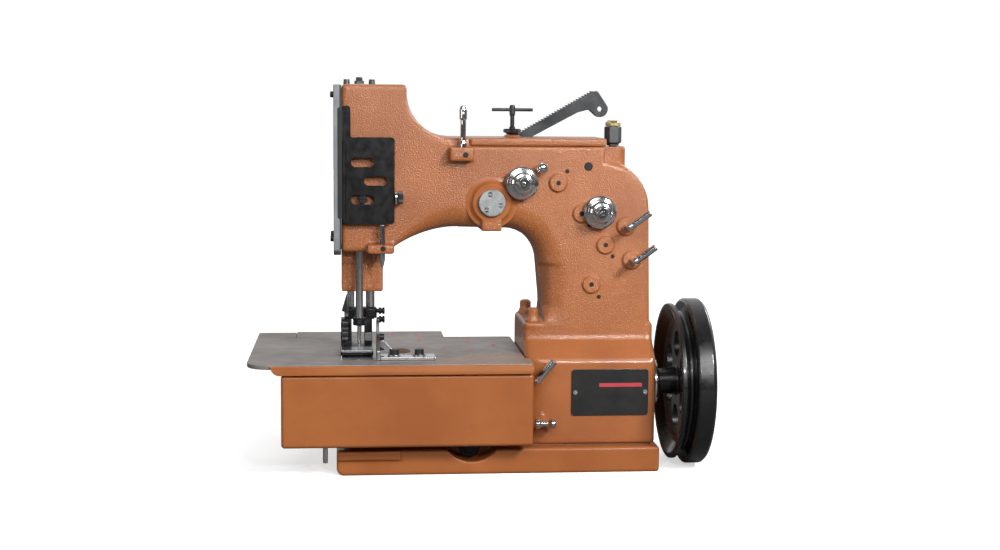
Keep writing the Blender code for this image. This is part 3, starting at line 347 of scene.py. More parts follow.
def asPiece(name, *shapes):
    # several shapes become one object in metres, at the origin
    whole = bmesh.new()
    for shape in shapes:
        part = bpy.data.meshes.new("part")
        shape.to_mesh(part)
        shape.free()
        whole.from_mesh(part)
        bpy.data.meshes.remove(part)
    bmesh.ops.scale(whole, vec=(mm, mm, mm), verts=whole.verts)
    mesh = bpy.data.meshes.new(name)
    whole.to_mesh(mesh)
    whole.free()
    piece = bpy.data.objects.new(name, mesh)
    world.collection.objects.link(piece)
    return piece


def applied(piece):
    # modifiers into the mesh
    graph = bpy.context.evaluated_depsgraph_get()
    mesh = bpy.data.meshes.new_from_object(piece.evaluated_get(graph))
    piece.modifiers.clear()
    piece.data = mesh
    return piece


def carved(piece, *tools):
    # cuts shapes out of a piece
    for tool in tools:
        cutter = asPiece("cutter", tool)
        step = piece.modifiers.new("carve", "BOOLEAN")
        step.operation = "DIFFERENCE"
        step.solver = "EXACT"
        step.object = cutter
        applied(piece)
        bpy.data.objects.remove(cutter, do_unlink=True)
    return piece


def soften(piece, width, segments=3, angle=35):
    # rounds the edges of a piece that is already an object
    step = piece.modifiers.new("soften", "BEVEL")
    step.width = width * mm
    step.segments = segments
    step.limit_method = "ANGLE"
    step.angle_limit = math.radians(angle)
    return applied(piece)


def done(piece, body, finish, *nodes, angle=32):
    # finish, body and the frame parts that the piece stands for
    look = finishes[finish]
    piece.data.materials.clear()
    piece.data.materials.append(look.material)
    piece.data.shade_smooth()
    piece.data.set_sharp_from_angle(angle=math.radians(angle))
    if len(piece.data.polygons) < 20000:
        # flat faces stay flat beside their rounded edges
        step = piece.modifiers.new("flat", "WEIGHTED_NORMAL")
        step.keep_sharp = True
        applied(piece)
    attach(piece, body)
    if nodes:
        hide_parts(*nodes)
    return piece


def merged(node, name):
    # a closed copy of a frame part
    shape = bmesh.new()
    shape.from_mesh(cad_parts[node].data)
    bmesh.ops.remove_doubles(shape, verts=shape.verts, dist=0.00001)
    bmesh.ops.dissolve_limit(shape, angle_limit=0.005, verts=shape.verts, edges=shape.edges)
    bmesh.ops.scale(shape, vec=(1 / mm, 1 / mm, 1 / mm), verts=shape.verts)
    return asPiece(name, shape)


def castCopy(node, name, voxel, passes, faces, reshape=None, rebates=()):
    # a casting: all edges melt into fillets, as sand moulds leave them
    piece = merged(node, name)
    step = piece.modifiers.new("voxels", "REMESH")
    step.mode = "VOXEL"
    step.voxel_size = voxel * mm
    applied(piece)
    if reshape:
        count = len(piece.data.vertices)
        places = np.empty(count * 3, np.float32)
        piece.data.vertices.foreach_get("co", places)
        places = reshape(places.reshape(-1, 3) / mm) * mm
        piece.data.vertices.foreach_set("co", places.astype(np.float32).ravel())
    step = piece.modifiers.new("melt", "SMOOTH")
    step.factor = 0.5
    step.iterations = passes
    applied(piece)
    if len(piece.data.polygons) * 2 > faces:
        step = piece.modifiers.new("thin", "DECIMATE")
        step.ratio = faces / (len(piece.data.polygons) * 2)
        applied(piece)
    return carved(piece, *rebates)


# Geometry Nodes: screws, ridges, teeth and copies on points

class Grower:
    # a node tree with named inputs, built in one place
    def __init__(self, name, inputs):
        self.tree = bpy.data.node_groups.new(name, "GeometryNodeTree")
        self.tree.interface.new_socket("Geometry", in_out="INPUT", socket_type="NodeSocketGeometry")
        for label, kind, value in inputs:
            made = self.tree.interface.new_socket(label, in_out="INPUT", socket_type="NodeSocket" + kind)
            if value is not None:
                made.default_value = value
        self.tree.interface.new_socket("Geometry", in_out="OUTPUT", socket_type="NodeSocketGeometry")
        self.source = self.tree.nodes.new("NodeGroupInput").outputs

    def add(self, kind, settings=None, **inputs):
        node = self.tree.nodes.new(kind)
        for key, value in (settings or {}).items():
            setattr(node, key, value)
        for key, value in inputs.items():
            socket = node.inputs[key.replace("_", " ")]
            if isinstance(value, bpy.types.NodeSocket):
                self.tree.links.new(value, socket)
            else:
                socket.default_value = value
        return node.outputs

    def maths(self, operation, first, second):
        node = self.tree.nodes.new("ShaderNodeMath")
        node.operation = operation
        for index, value in enumerate((first, second)):
            if isinstance(value, bpy.types.NodeSocket):
                self.tree.links.new(value, node.inputs[index])
            else:
                node.inputs[index].default_value = value
        return node.outputs[0]

    def close(self, shapes):
        # the last steps: real geometry with its finish
        real = self.add("GeometryNodeRealizeInstances", Geometry=shapes)[0]
        dressed = self.add("GeometryNodeSetMaterial", Geometry=real, Material=self.source["Finish"])[0]
        self.add("NodeGroupOutput", Geometry=dressed)
        return self.tree

    def aimed(self, shape):
        # one copy on each point, turned to the point's own direction
        aim = self.add("GeometryNodeInputNamedAttribute", {"data_type": "FLOAT_VECTOR"}, Name="aim")[0]
        turn = self.add("FunctionNodeAlignRotationToVector", {"axis": "Z"}, Vector=aim)[0]
        return self.add("GeometryNodeInstanceOnPoints", Points=self.source["Geometry"], Instance=shape,
                        Rotation=turn)[0]


def screwTree():
    # slotted cheese-head screws
    grow = Grower("slottedScrews", [("Head Radius", "Float", 3 * mm), ("Head Height", "Float", 2 * mm),
                                    ("Slot Width", "Float", mm), ("Finish", "Material", None)])
    radius, height, width = (grow.source[key] for key in ("Head Radius", "Head Height", "Slot Width"))
    head = grow.add("GeometryNodeMeshCone", Vertices=36, Radius_Top=grow.maths("MULTIPLY", radius, 0.9),
                    Radius_Bottom=radius, Depth=height)["Mesh"]
    size = grow.add("ShaderNodeCombineXYZ", X=grow.maths("MULTIPLY", radius, 3.0), Y=width, Z=height)[0]
    slot = grow.add("GeometryNodeMeshCube", Size=size)["Mesh"]
    lift = grow.add("ShaderNodeCombineXYZ", Z=height)[0]
    slot = grow.add("GeometryNodeTransform", Geometry=slot, Translation=lift)[0]
    cutNode = grow.tree.nodes.new("GeometryNodeMeshBoolean")
    cutNode.operation = "DIFFERENCE"
    grow.tree.links.new(head, cutNode.inputs[0])
    grow.tree.links.new(slot, cutNode.inputs[1])
    return grow.close(grow.aimed(cutNode.outputs["Mesh"]))


def ridgeTree():
    # knurling: thin ridges round a collar
    grow = Grower("knurledRidges", [("Radius", "Float", 6 * mm), ("Length", "Float", 3 * mm),
                                    ("Ridges", "Int", 36), ("Finish", "Material", None)])
    radius, count = grow.source["Radius"], grow.source["Ridges"]
    ringPoints = grow.add("GeometryNodeMeshCircle", Vertices=count, Radius=radius)["Mesh"]
    width = grow.maths("DIVIDE", grow.maths("MULTIPLY", radius, 3.4), count)
    bar = grow.add("GeometryNodeMeshCylinder", Vertices=4, Radius=width,
                   Depth=grow.source["Length"])["Mesh"]
    place = grow.add("GeometryNodeInputPosition")[0]
    turn = grow.add("FunctionNodeAlignRotationToVector", {"axis": "X"}, Vector=place)[0]
    return grow.close(grow.add("GeometryNodeInstanceOnPoints", Points=ringPoints, Instance=bar,
                               Rotation=turn)[0])


def toothTree():
    # serrations along a line of edges
    grow = Grower("serration", [("Teeth", "Int", 20), ("Tooth", "Float", 2 * mm), ("Width", "Float", 6 * mm),
                                ("Finish", "Material", None)])
    path = grow.add("GeometryNodeMeshToCurve", Mesh=grow.source["Geometry"])[0]
    spaced = grow.add("GeometryNodeResampleCurve", Curve=path, Count=grow.source["Teeth"])[0]
    tooth = grow.add("GeometryNodeMeshCylinder", Vertices=3, Radius=grow.source["Tooth"],
                     Depth=grow.source["Width"])["Mesh"]
    laid = grow.add("GeometryNodeTransform", Geometry=tooth, Rotation=(math.pi / 2, 0, 0))[0]
    tangent = grow.add("GeometryNodeInputTangent")[0]
    turn = grow.add("FunctionNodeAlignRotationToVector", {"axis": "X", "pivot_axis": "Y"}, Vector=tangent)[0]
    return grow.close(grow.add("GeometryNodeInstanceOnPoints", Points=spaced, Instance=laid,
                               Rotation=turn)[0])


def copyTree():
    # copies of any turned piece
    grow = Grower("copiesOnPoints", [("Template", "Object", None), ("Size", "Float", 1.0),
                                     ("Finish", "Material", None)])
    shape = grow.add("GeometryNodeObjectInfo", Object=grow.source["Template"])["Geometry"]
    sized = grow.add("GeometryNodeScaleElements", Geometry=shape, Scale=grow.source["Size"])[0]
    return grow.close(grow.aimed(sized))


trees = {"screws": screwTree(), "ridges": ridgeTree(), "teeth": toothTree(), "copies": copyTree()}


def grown(name, tree, body, finish, points=(), aims=front, settings=None, path=False, after=None):
    # runs one tree on points and keeps the plain mesh
    mesh = bpy.data.meshes.new(name)
    places = [tuple(Vector(point) * mm) for point in points]
    mesh.from_pydata(places, [(i, i + 1) for i in range(len(places) - 1)] if path else [], [])
    if places and not path:
        aim = mesh.attributes.new("aim", "FLOAT_VECTOR", "POINT")
        aim.data.foreach_set("vector", [value for _ in places for value in aims])
    piece = bpy.data.objects.new(name, mesh)
    world.collection.objects.link(piece)
    step = piece.modifiers.new(name, "NODES")
    step.node_group = trees[tree]
    values = dict(settings or {})
    values["Finish"] = finishes[finish].material
    for item in trees[tree].interface.items_tree:
        if item.name in values and item.in_out == "INPUT":
            step[item.identifier] = values[item.name]
    applied(piece)
    if "aim" in piece.data.attributes:
        piece.data.attributes.remove(piece.data.attributes["aim"])
    if after:
        piece.data.transform(Matrix.Translation(Vector(after[0]) * mm) @ turnTo(after[1]))
    done(piece, body, finish)


def screwed(name, body, finish, points, axis, radius, height, slot):
    # slotted screw heads on points, sizes in millimetres
    sizes = {"Head Radius": radius * mm, "Head Height": height * mm, "Slot Width": slot * mm}
    grown(name, "screws", body, finish, points, axis, sizes)


def knurled(name, body, finish, radius, length, ridges, place, axis):
    # ridges round a collar, sizes in millimetres
    sizes = {"Radius": radius * mm, "Length": length * mm, "Ridges": ridges}
    grown(name, "ridges", body, finish, settings=sizes, after=(place, axis))


print("shape tools ready")


# Castings

archLook = {"bellyCentre": (-38.0, 119.5), "bellyRadius": 116.5, "throatCentre": (6.0, 200.0),
            "throatRadius": 35.0, "columnLeft": 44.5, "round": 24.0, "least": 5,
            "fadeStart": -52.0, "fadeEnd": -98.0, "fadeHeight": 14, "bodyCorner": 30.0, "bodyDepth": 12.0,
            "bodyFade": 6, "far": 999}


def quarter(distance, reach, depth):
    # how far an elliptical fillet has fallen away at a distance from its edge
    share = np.clip((reach - distance) / reach, 0, 1)
    return depth * (1 - np.sqrt(1 - share ** 2))


def roundedArm(p):
    # wide fillets on the inside of the arch and column, and on the lower body's free corner
    look = archLook
    x, y, z = p[:, 0], p[:, 1].copy(), p[:, 2]
    far = look["far"]
    armFront = abs(corners("top_cover")[0].y)
    blockTop = corners("block_bolt_front")[0].z
    belly = np.hypot(x - look["bellyCentre"][0], z - look["bellyCentre"][1]) - look["bellyRadius"]
    belly = np.where(x > look["bellyCentre"][0], far, belly)
    throat = np.hypot(x - look["throatCentre"][0], z - look["throatCentre"][1]) - look["throatRadius"]
    sideways = np.where(z < look["throatCentre"][1], x - look["columnLeft"], far)
    above = np.where((x < look["throatCentre"][0]) & (x > look["bellyCentre"][0]),
                     z - look["throatCentre"][1] - look["throatRadius"], far)
    reach = np.clip((x - look["fadeEnd"]) / (look["fadeStart"] - look["fadeEnd"]), 0, 1)
    reach = reach * (look["round"] - look["least"]) + look["least"]
    distance = np.clip(np.minimum(np.minimum(belly, throat), np.minimum(sideways, above)), 0, far)
    fall = quarter(distance, reach, reach * 0.9)
    fall = fall * np.clip((z - blockTop - 1) / look["fadeHeight"], 0, 1)
    arm = (np.abs(y) <= armFront + 0.4) & (z > blockTop + 1)
    y = np.where(arm, y * (1 - fall / armFront), y)
    return np.stack([x, y, z], 1)


rimLook = {"width": 3.4, "depth": 1.6, "shoulder": (103.0, 256.0, 45.5), "neck": (-46.0, 367.0, 43.5),
           "columnFoot": 150.0}


def rimRebates():
    # the front face stands a step inside the casting's rim, on the column and at the neck
    look = rimLook
    face = corners("top_cover")[0].y
    x, z, radius = look["shoulder"]
    inside, outside, low = radius - look["width"], radius + 6, look["columnFoot"]
    angles = np.radians(np.linspace(62, 0, 14))
    band = arc(x, z, inside, angles) + [(x + inside, low), (x + outside, low)]
    band += arc(x, z, outside, angles[::-1])
    column = prism(band, face - 3, face + look["depth"])
    x, z, radius = look["neck"]
    angles = np.radians(np.linspace(176, 262, 16))
    band = arc(x, z, radius + look["width"], angles) + arc(x, z, radius - 4, angles[::-1])
    return column, prism(band, face - 3, face + look["depth"])


def makeCastings():
    bodyFront = corners("name_plate")[1].y + 0.3
    bedRight = corners("bed")[1].x + 0.3

    def reshapeFrame(p):
        p = roundedArm(p)
        x, y, z = p[:, 0], p[:, 1], p[:, 2]
        look = archLook
        fall = quarter(np.clip(x - bedRight, 0, look["far"]), look["bodyCorner"], look["bodyDepth"])
        fall = fall * np.clip((corners("block_bolt_front")[0].z - 2 - z) / look["bodyFade"], 0, 1)
        y = np.where(y < -20, y + fall * np.clip(-(y + 20) / (-bodyFront - 20), 0, 1), y)
        return np.stack([x, y, z], 1)

    arm = castCopy("main_frame", "armCasting", 1.35, 5, 150000, reshapeFrame, rimRebates())
    done(arm, "frame", "wrinkle", "main_frame", angle=60)
    for node, name, voxel, passes, faces, finish in (
            ("base", "baseCasting", 1.3, 4, 60000, "satin"), ("bed", "bedHousing", 1.2, 3, 40000, "satin"),
            ("top_cover", "topCover", 0.8, 3, 30000, "wrinkle"),
            ("rear_cover", "rearCover", 0.8, 3, 20000, "wrinkle")):
        done(castCopy(node, name, voxel, passes, faces), "frame", finish, node, angle=60)


bossLook = {"radius": 8.6, "hole": 2.3, "height": 3.0,
            "places": ((58.0, 280.3), (81.5, 250.4), (105.4, 219.8), (91.9, 180.9)),
            "tapped": ((66.8, 291.7), (89.7, 239.0), (112.8, 208.5), (99.7, 168.4)), "tappedRadius": 1.7,
            "lugs": ((-112.3, 14.0, 217.3), (-33.3, 13.0, 307.4)),
            "breather": (87.6, 296.4), "breatherRadius": 3.5}


def makeBosses():
    # spot-faced bosses and the pads of the guide pins, with black discs in the tapped holes and bores as
    # painted shade
    look = bossLook
    face = corners("top_cover")[0].y
    core, edge, height, tap = look["hole"], look["radius"], look["height"], look["tappedRadius"]
    boss = asPiece("bossTemplate", lathe([
        (core, -1.0), (core, height), (edge - 0.9, height, 0.6), (edge, height - 0.9, 0.6),
        (edge + 0.1, 0.7, 0.6), (edge + 1.5, -0.2), (edge, -1.0), (core, -1.0)]))
    holeShade = asPiece("holeTemplate", lathe([
        (0, 0.35), (tap, 0.35, 0.2), (tap + 0.35, 0.1), (tap + 0.3, -1), (0, -1)], steps=24))
    for template in (boss, holeShade):
        template.data.shade_smooth()
    pins = ("guide_pin_upper", "guide_pin_lower")
    for name, finish, template, size, places in (
            ("frontBosses", "wrinkle", boss, 1.0, [(x, face, z) for x, z in look["places"]]),
            ("pinPads", "wrinkle", boss, 1.05,
             [(middle(node).x - 9, face, corners(node)[0].z + 3.2) for node in pins]),
            ("tappedHoles", "paintedShade", holeShade, 1.0, [(x, face, z) for x, z in look["tapped"]]),
            ("bossHoles", "paintedShade", holeShade, core / tap,
             [(x, face - height + 1.2, z) for x, z in look["places"]]),
            ("breatherHole", "paintedShade", holeShade, look["breatherRadius"] / tap,
             [(look["breather"][0], face, look["breather"][1])]),
            ("lugHoles", "paintedShade", holeShade, 1.3, [(x, face - reach, z) for x, reach, z in look["lugs"]])):
        grown(name, "copies", "frame", finish, places, front, {"Template": template, "Size": size})
    for spare in (boss, holeShade):
        bpy.data.objects.remove(spare, do_unlink=True)


def makeOilBoss():
    # the ledge that joins the oil cup's boss to the end of the top cover's seat
    under, seat = corners("top_cover")
    cup = middle("oil_cup")
    ledge = block((seat.x - 1.5, cup.y - 9, 294), (cup.x + 4, cup.y + 9, under.z - 0.6))
    done(asPiece("oilBossLedge", rounder(ledge, 1.2, 3)), "frame", "wrinkle")


makeCastings()
makeBosses()
makeOilBoss()
print("castings ready")


# Sheet-metal front cover

trayLook = {"sheet": 2.0, "bend": 3.5, "earRadius": 6.0, "earHeight": 5.0, "earBore": 2.8, "notch": 7}


def makeTray():
    # folded open at the back, with two ears on the hinge pin
    look = trayLook
    low, high = corners("front_cover")
    pin = middle("cover_hinge_pin")
    shell = block(low, high)
    back = max(shell.faces, key=lambda face: face.calc_center_median().y)
    bmesh.ops.delete(shell, geom=[back], context="FACES_ONLY")
    folds = [e for e in shell.edges if len(e.link_faces) == 2]
    bmesh.ops.bevel(shell, geom=folds, offset=look["bend"], segments=6, profile=0.5, affect="EDGES")
    piece = asPiece("frontTray", shell)
    wall = piece.modifiers.new("sheet", "SOLIDIFY")
    wall.thickness = look["sheet"] * mm
    wall.offset = -1
    soften(piece, 0.4, 2, 50)
    notch = look["notch"]
    for level in (low.z, high.z):
        carved(piece, block((pin.x - notch, pin.y - notch, level - 5),
                            (pin.x + notch, high.y + 5, level + 5)))
    bore, height = look["earBore"], look["earHeight"]
    for foot in (low.z + 10, high.z - 22):
        ear = lathe([(bore, 0), (look["earRadius"], 0, 0.6), (look["earRadius"], height, 0.6),
                     (bore, height), (bore, 0)], (pin.x, pin.y, foot), up, 40)
        web = block((pin.x - 5.5, low.y + 1, foot), (pin.x + 5.5, pin.y - 3.2, foot + height))
        done(asPiece("coverEar", ear, rounder(web, 0.6)), "front_cover", "satin")
    done(piece, "front_cover", "satin", "front_cover", angle=40)


makeTray()


# Work table

tableLook = {"seam": ((-64.0, -69.8), (-27.0, -30.5), (0.0, -25.0), (24.6, -19.0)), "mark": (3.6, 3.4),
             "marks": ((-98, 104), (-73, 101), (-71, 87), (-72, 62), (-50, 8), (-22, 71), (-23, 46),
                       (-25, -7), (2, 25)), "oval": (-93.0, -8.5, 9.5, 17.0), "corner": 22.0,
             "flangeLeft": -209.0, "flange": 9.6, "lip": 3.4, "gap": 0.3, "step": (25.0, -58),
             "grooveHalf": 0.35, "grooveDepth": 0.6}


def makeTable():
    look = tableLook
    low, high = corners("work_table")
    rearLow, rearHigh = corners("rear_table")
    throatLow, throatHigh = corners("throat_plate")
    under = rearLow.z
    gap, (stepX, stepY) = look["gap"], look["step"]
    outline = [(low.x, low.y + 2.4, look["corner"]), (high.x, low.y + 2.4, 4), (high.x, stepY, 0.5),
               (stepX, stepY, 0.5), (stepX, rearLow.y - gap, 3), (rearLow.x - gap, rearLow.y - gap, 0.5),
               (rearLow.x - gap, high.y, 0.5), (low.x + 3, high.y, 4)]
    table = asPiece("workTable", rounder(prism(outline, under, high.z, "xy"), 0.5, 2, 60))
    carved(table, block((throatLow.x - gap, throatLow.y - gap, under - 5),
                        (throatHigh.x + gap, throatHigh.y + gap, high.z + 5)))
    seam = look["seam"]
    for first, last in zip(seam, seam[1:]):
        a, b = Vector(first), Vector(last)
        side = Vector((-(b - a).y, (b - a).x)).normalized() * look["grooveHalf"]
        line = [tuple(a - side), tuple(b - side), tuple(b + side), tuple(a + side)]
        carved(table, prism(line, high.z - look["grooveDepth"], high.z + 1, "xy"))
    done(table, "frame", "table", "work_table", angle=30)
    strip = list(seam) + [(24.6, -57.5), (high.x - 0.4, -58.5), (high.x - 0.4, low.y + 3), (-64, low.y + 3)]
    done(asPiece("tableApron", prism(strip[::-1], high.z - 0.1, high.z + 0.12, "xy")), "frame", "apron")
    x, y, halfX, halfY = look["oval"]
    dish = lathe([(0, 0.25), (0.92, 0.25), (1.0, -0.2), (0, -0.2)], (0, 0, 0), up, 48)
    bmesh.ops.scale(dish, vec=(halfX, halfY, 1), verts=dish.verts)
    bmesh.ops.translate(dish, vec=(x, y, high.z), verts=dish.verts)
    done(asPiece("tableOval", dish), "frame", "joint")
    wide, deep = look["mark"]
    dots = [block((x - wide / 2, y - deep, high.z - 0.1), (x + wide / 2, y + deep, high.z + 0.1))
            for x, y in look["marks"]]
    done(asPiece("tableMarks", *dots), "frame", "red")
    bottom = high.z - look["flange"]
    edge = [(low.x + look["corner"], high.z - 0.7), (look["flangeLeft"] - 6, bottom, 8),
            (high.x, bottom, 3.5), (high.x, high.z - 0.7, 0.8)]
    lip = rounder(prism(edge[::-1], low.y, low.y + look["lip"]), 1.3, 4, 25)
    done(asPiece("tableFlange", lip), "frame", "satin")
    rear = rounder(block(rearLow, rearHigh), 0.7, 3)
    done(asPiece("rearTable", rear), "frame", "table", "rear_table")


makeTable()
print("table and cover ready")


# Handwheel and bearings

wheelLook = {"windows": 6, "windowRadius": 13.0, "windowPlace": 37.0, "wide": 33, "rim": 20, "pulley": 5,
             "bore": 8.3, "bolts": 3, "boltPlace": 20.5}


def makeWheel():
    look = wheelLook
    low, high = corners("handwheel")
    shaft = middle("main_shaft")
    rim = (high.z - low.z) / 2
    left, outer, bore = high.x - look["wide"], high.x, look["bore"]
    inner, pulley, groove = rim - look["rim"], rim - look["pulley"], rim - look["pulley"] - 9
    profile = [(bore, outer - 8), (12, outer - 8, 1.2), (14.5, left + 15, 2.5), (inner - 1, left + 15, 3.5),
               (inner + 4, outer - 2, 2), (inner + 6, outer, 1.5), (rim - 3.2, outer, 3.0),
               (rim, outer - 3.2, 3.0), (rim, left + 15.5, 2.2), (rim - 3, left + 14, 1),
               (groove, left + 12.5, 2), (groove, left + 9, 2), (pulley, left + 4.5, 1),
               (pulley, left, 1.2), (pulley - 5, left, 1.2), (inner, left + 9, 3.5), (14, left + 9, 2),
               (12, 161, 1.0), (bore, 161), (bore, outer - 8)]
    wheel = asPiece("handwheel", lathe(profile, (0, shaft.y, shaft.z), right, 128))
    angles = [2 * math.pi * (index + 0.5) / look["windows"] for index in range(look["windows"])]
    carved(wheel, *[rod(look["windowRadius"], 18, (left + 3, y, z), right, 40)
                    for y, z in arc(shaft.y, shaft.z, look["windowPlace"], angles)])
    done(wheel, "crankshaft", "wheel", "handwheel", angle=40)
    low, high = corners("main_shaft")
    collar = [(0, high.x), (7.2, high.x, 0.6), (8, high.x - 1.2), (8, low.x + 9), (19, low.x + 9, 0.8),
              (19, low.x, 0.8), (0, low.x)]
    axle = lathe(collar, (0, shaft.y, shaft.z), right)
    done(asPiece("mainShaft", axle), "crankshaft", "steel", "main_shaft")
    low, high = corners("right_bearing")
    flange = [(8.4, high.x), (14, high.x, 0.5), (15, high.x - 2.6, 0.5), (25.5, high.x - 2.6, 1),
              (27, high.x - 4, 0.5), (27, low.x + 12.3), (13, low.x + 12.3), (13, low.x), (8.4, low.x),
              (8.4, high.x)]
    collar = lathe(flange, (0, shaft.y, shaft.z), right, 80)
    done(asPiece("rightBearing", collar), "frame", "chrome", "right_bearing")
    angles = [math.radians(360 / look["bolts"] * index + 90) for index in range(look["bolts"])]
    bolts = [(high.x - 2.8, y, z) for y, z in arc(shaft.y, shaft.z, look["boltPlace"], angles)]
    screwed("bearingScrews", "frame", "oxide", bolts, right, 2.8, 2.2, 0.9)


makeWheel()
print("handwheel ready")


# Head: face plate, guard sheet, screws, rods

headLook = {"channel": (-155.6, -151.2), "channelMiddle": 299, "channelHalf": 53.2,
            "faceScrews": ((-30, 364), (25, 364), (-30, 225.5), (25, 225.5)),
            "topScrews": ((-146.7, 5.0), (-122.0, 5.0))}


def makeHead():
    look = headLook
    low, high = corners("face_plate")
    chamfer = [(low.y, low.z + 5), (low.y, high.z, 2), (high.y, high.z, 2), (high.y, low.z, 2),
               (low.y + 6, low.z)]
    plate = asPiece("facePlate", rounder(prism(chamfer[::-1], low.x, high.x, "yz"), 0.9, 3, 40))
    done(plate, "frame", "grey", "face_plate", angle=40)
    # a black strip in the gap along the plate's inner edge: painted shade
    paintedShadeBlack = prism([(low.y - 0.15, low.z + 6), (low.y - 0.15, high.z - 0.6), (high.y - 1, high.z - 0.6),
                    (high.y - 1, low.z + 1)][::-1], high.x - 1.3, high.x + 0.25, "yz")
    done(asPiece("faceGasket", paintedShadeBlack), "frame", "paintedShade")
    # a black slot shape on the plate's front: painted shade
    start, end = look["channel"]
    slot = slotOutline((start + end) / 2, look["channelMiddle"], (end - start) / 2, look["channelHalf"])
    done(asPiece("faceChannel", prism(slot, low.y - 0.25, low.y + 1)), "frame", "paintedShade")
    side = [(low.x - 0.1, y, z) for y, z in look["faceScrews"]]
    screwed("faceScrews", "frame", "oxide", side, (-1, 0, 0), 3, 3.0, 0.9)
    top = corners("main_frame")[1].z
    plug = middle("head_oil_plug")
    heads = [(x, y, top - 0.2) for x, y in look["topScrews"]]
    screwed("headScrews", "frame", "worn", heads, up, 3.2, 5, 1.1)
    cup = lathe([(0, top + 7), (2.6, top + 7, 0.5), (3.2, top + 6, 0.4), (3.2, top + 3.6),
                 (4.8, top + 3.2, 0.3), (4.8, top + 0.3), (0, top + 0.3)], (plug.x, plug.y, 0), up, 6)
    done(asPiece("headOilPlug", cup), "frame", "worn", "head_oil_plug")


guardLook = {"slots": ((-131.6, 299.8), (-119.1, 282.2), (-131.6, 264.0)), "half": (11.2, 4.5),
             "left": -147.5, "neck": -143.2, "shoulder": 323.8, "foldLeft": -151.2, "knurls": 34}


def makeGuard():
    look = guardLook
    left, neck, shoulder = look["left"], look["neck"], look["shoulder"]
    low, high = corners("thread_guard")
    outline = [(left, low.z, 3), (high.x, low.z, 3), (high.x, shoulder, 3), (neck, shoulder, 1.5),
               (neck, high.z, 3), (low.x, high.z, 3), (low.x, 322, 3), (left, 316, 3)]
    sheet = asPiece("threadGuard", prism(outline, low.y, high.y))
    for x, z in look["slots"]:
        carved(sheet, prism(slotOutline(x, z, *look["half"]), low.y - 3, high.y + 3))
    done(soften(sheet, 0.35, 2, 50), "frame", "black", "thread_guard")
    fold = block((look["foldLeft"], high.y - 0.6, low.z + 0.8), (left + 0.2, high.y + 6.4, 322))
    done(asPiece("guardFold", rounder(fold, 0.5, 2)), "frame", "black")
    bolt = middle("guard_bolt")
    face = corners("guard_bolt")[1].y
    washer = [(2.8, 5.2), (4.3, 5.2, 0.3), (4.3, 7.4, 0.4), (2.8, 7.4), (2.8, 5.2)]
    washer = lathe(washer, (bolt.x, face - 0.3, bolt.z), front)
    done(asPiece("guardWasher", washer), "frame", "oxide", "guard_bolt")
    screwed("guardBolt", "frame", "oxide", [(bolt.x, face - 7.2, bolt.z)], front, 3.7, 2.4, 0.9)
    low, high = corners("thumb_screw")
    spot = middle("thumb_screw")
    knob = [(0, 2.2), (4.2, 2.2), (4.2, 3.0), (5.6, 3.2, 0.4), (5.6, 7.6, 0.5), (0, 8.2)]
    disc = [(0, 0), (6.8, 0, 0.4), (6.8, 2.0, 0.4), (4.0, 2.4, 0.3), (0, 2.4)]
    foot = (low.x, spot.y, spot.z)
    done(asPiece("thumbScrew", lathe(knob, foot, right, 48)), "frame", "oxide", "thumb_screw")
    done(asPiece("thumbDisc", lathe(disc, foot, right, 48)), "frame", "chrome")
    knurled("thumbKnurl", "frame", "oxide", 5.5, 4.2, look["knurls"], (low.x + 5.4, spot.y, spot.z), right)
    low, high = corners("guide_rod")
    spot = middle("guide_rod")
    pointed = [(0, low.z), (1.4, low.z + 4, 1), (2.7, low.z + 10, 2), (2.7, low.z + 22, 0.3),
               (2.2, low.z + 23), (2.2, low.z + 24), (2.7, low.z + 25, 0.3), (2.7, high.z, 0.6), (0, high.z)]
    pointed = lathe(pointed, (spot.x, spot.y, 0), up, 40)
    done(asPiece("guideRod", pointed), "frame", "chrome", "guide_rod")
    makeEyePost()


eyeLook = {"foot": 3.4, "stem": 2.7, "ball": 3.7, "eye": 1.3}


def makeEyePost():
    # flattened in the middle, with a ball and an eye on top
    foot, stem, ball = eyeLook["foot"], eyeLook["stem"], eyeLook["ball"]
    low, high = corners("eye_post")
    spot = middle("eye_post")
    turn = lathe([(0, low.z), (foot, low.z, 0.4), (foot, low.z + 16, 1.2), (stem, low.z + 19, 1.0),
                  (stem, high.z - 14, 0.8), (ball, high.z - 12, 1.0), (ball, high.z - 4, 1.6),
                  (2.6, high.z, 1.4), (0, high.z)], (spot.x, spot.y, 0), up, 48)
    post = asPiece("eyePost", turn)
    eye = rod(eyeLook["eye"], 12, (spot.x, spot.y, high.z - 7), front, 24, -6)
    flat = block((spot.x - 5, spot.y - 5, low.z + 22), (spot.x + 5, spot.y - 1.9, high.z - 18))
    carved(post, eye, flat)
    done(post, "frame", "chrome", "eye_post", angle=40)


makeHead()
makeGuard()
print("head ready")


# Needle, presser and their clamps

def rodPiece(name, node, finish, body, axis=2):
    # a plain shaft with chamfered ends, in place of a frame rod
    low, high = corners(node)
    spot = (low + high) / 2
    spot[axis] = low[axis]
    across = (axis + 1) % 3
    radius = (high[across] - low[across]) / 2
    long = high[axis] - low[axis]
    line = [(0, 0), (radius, 0, 0.8), (radius, long, 0.8), (0, long)]
    aim = [0, 0, 0]
    aim[axis] = 1
    done(asPiece(name, lathe(line, spot, aim, 40)), body, finish, node)


needleLook = {"bar": 3.6, "clamp": 6.4, "clampGroove": 5.6, "shank": 2.2, "blade": 1.2, "tip": 1.05}


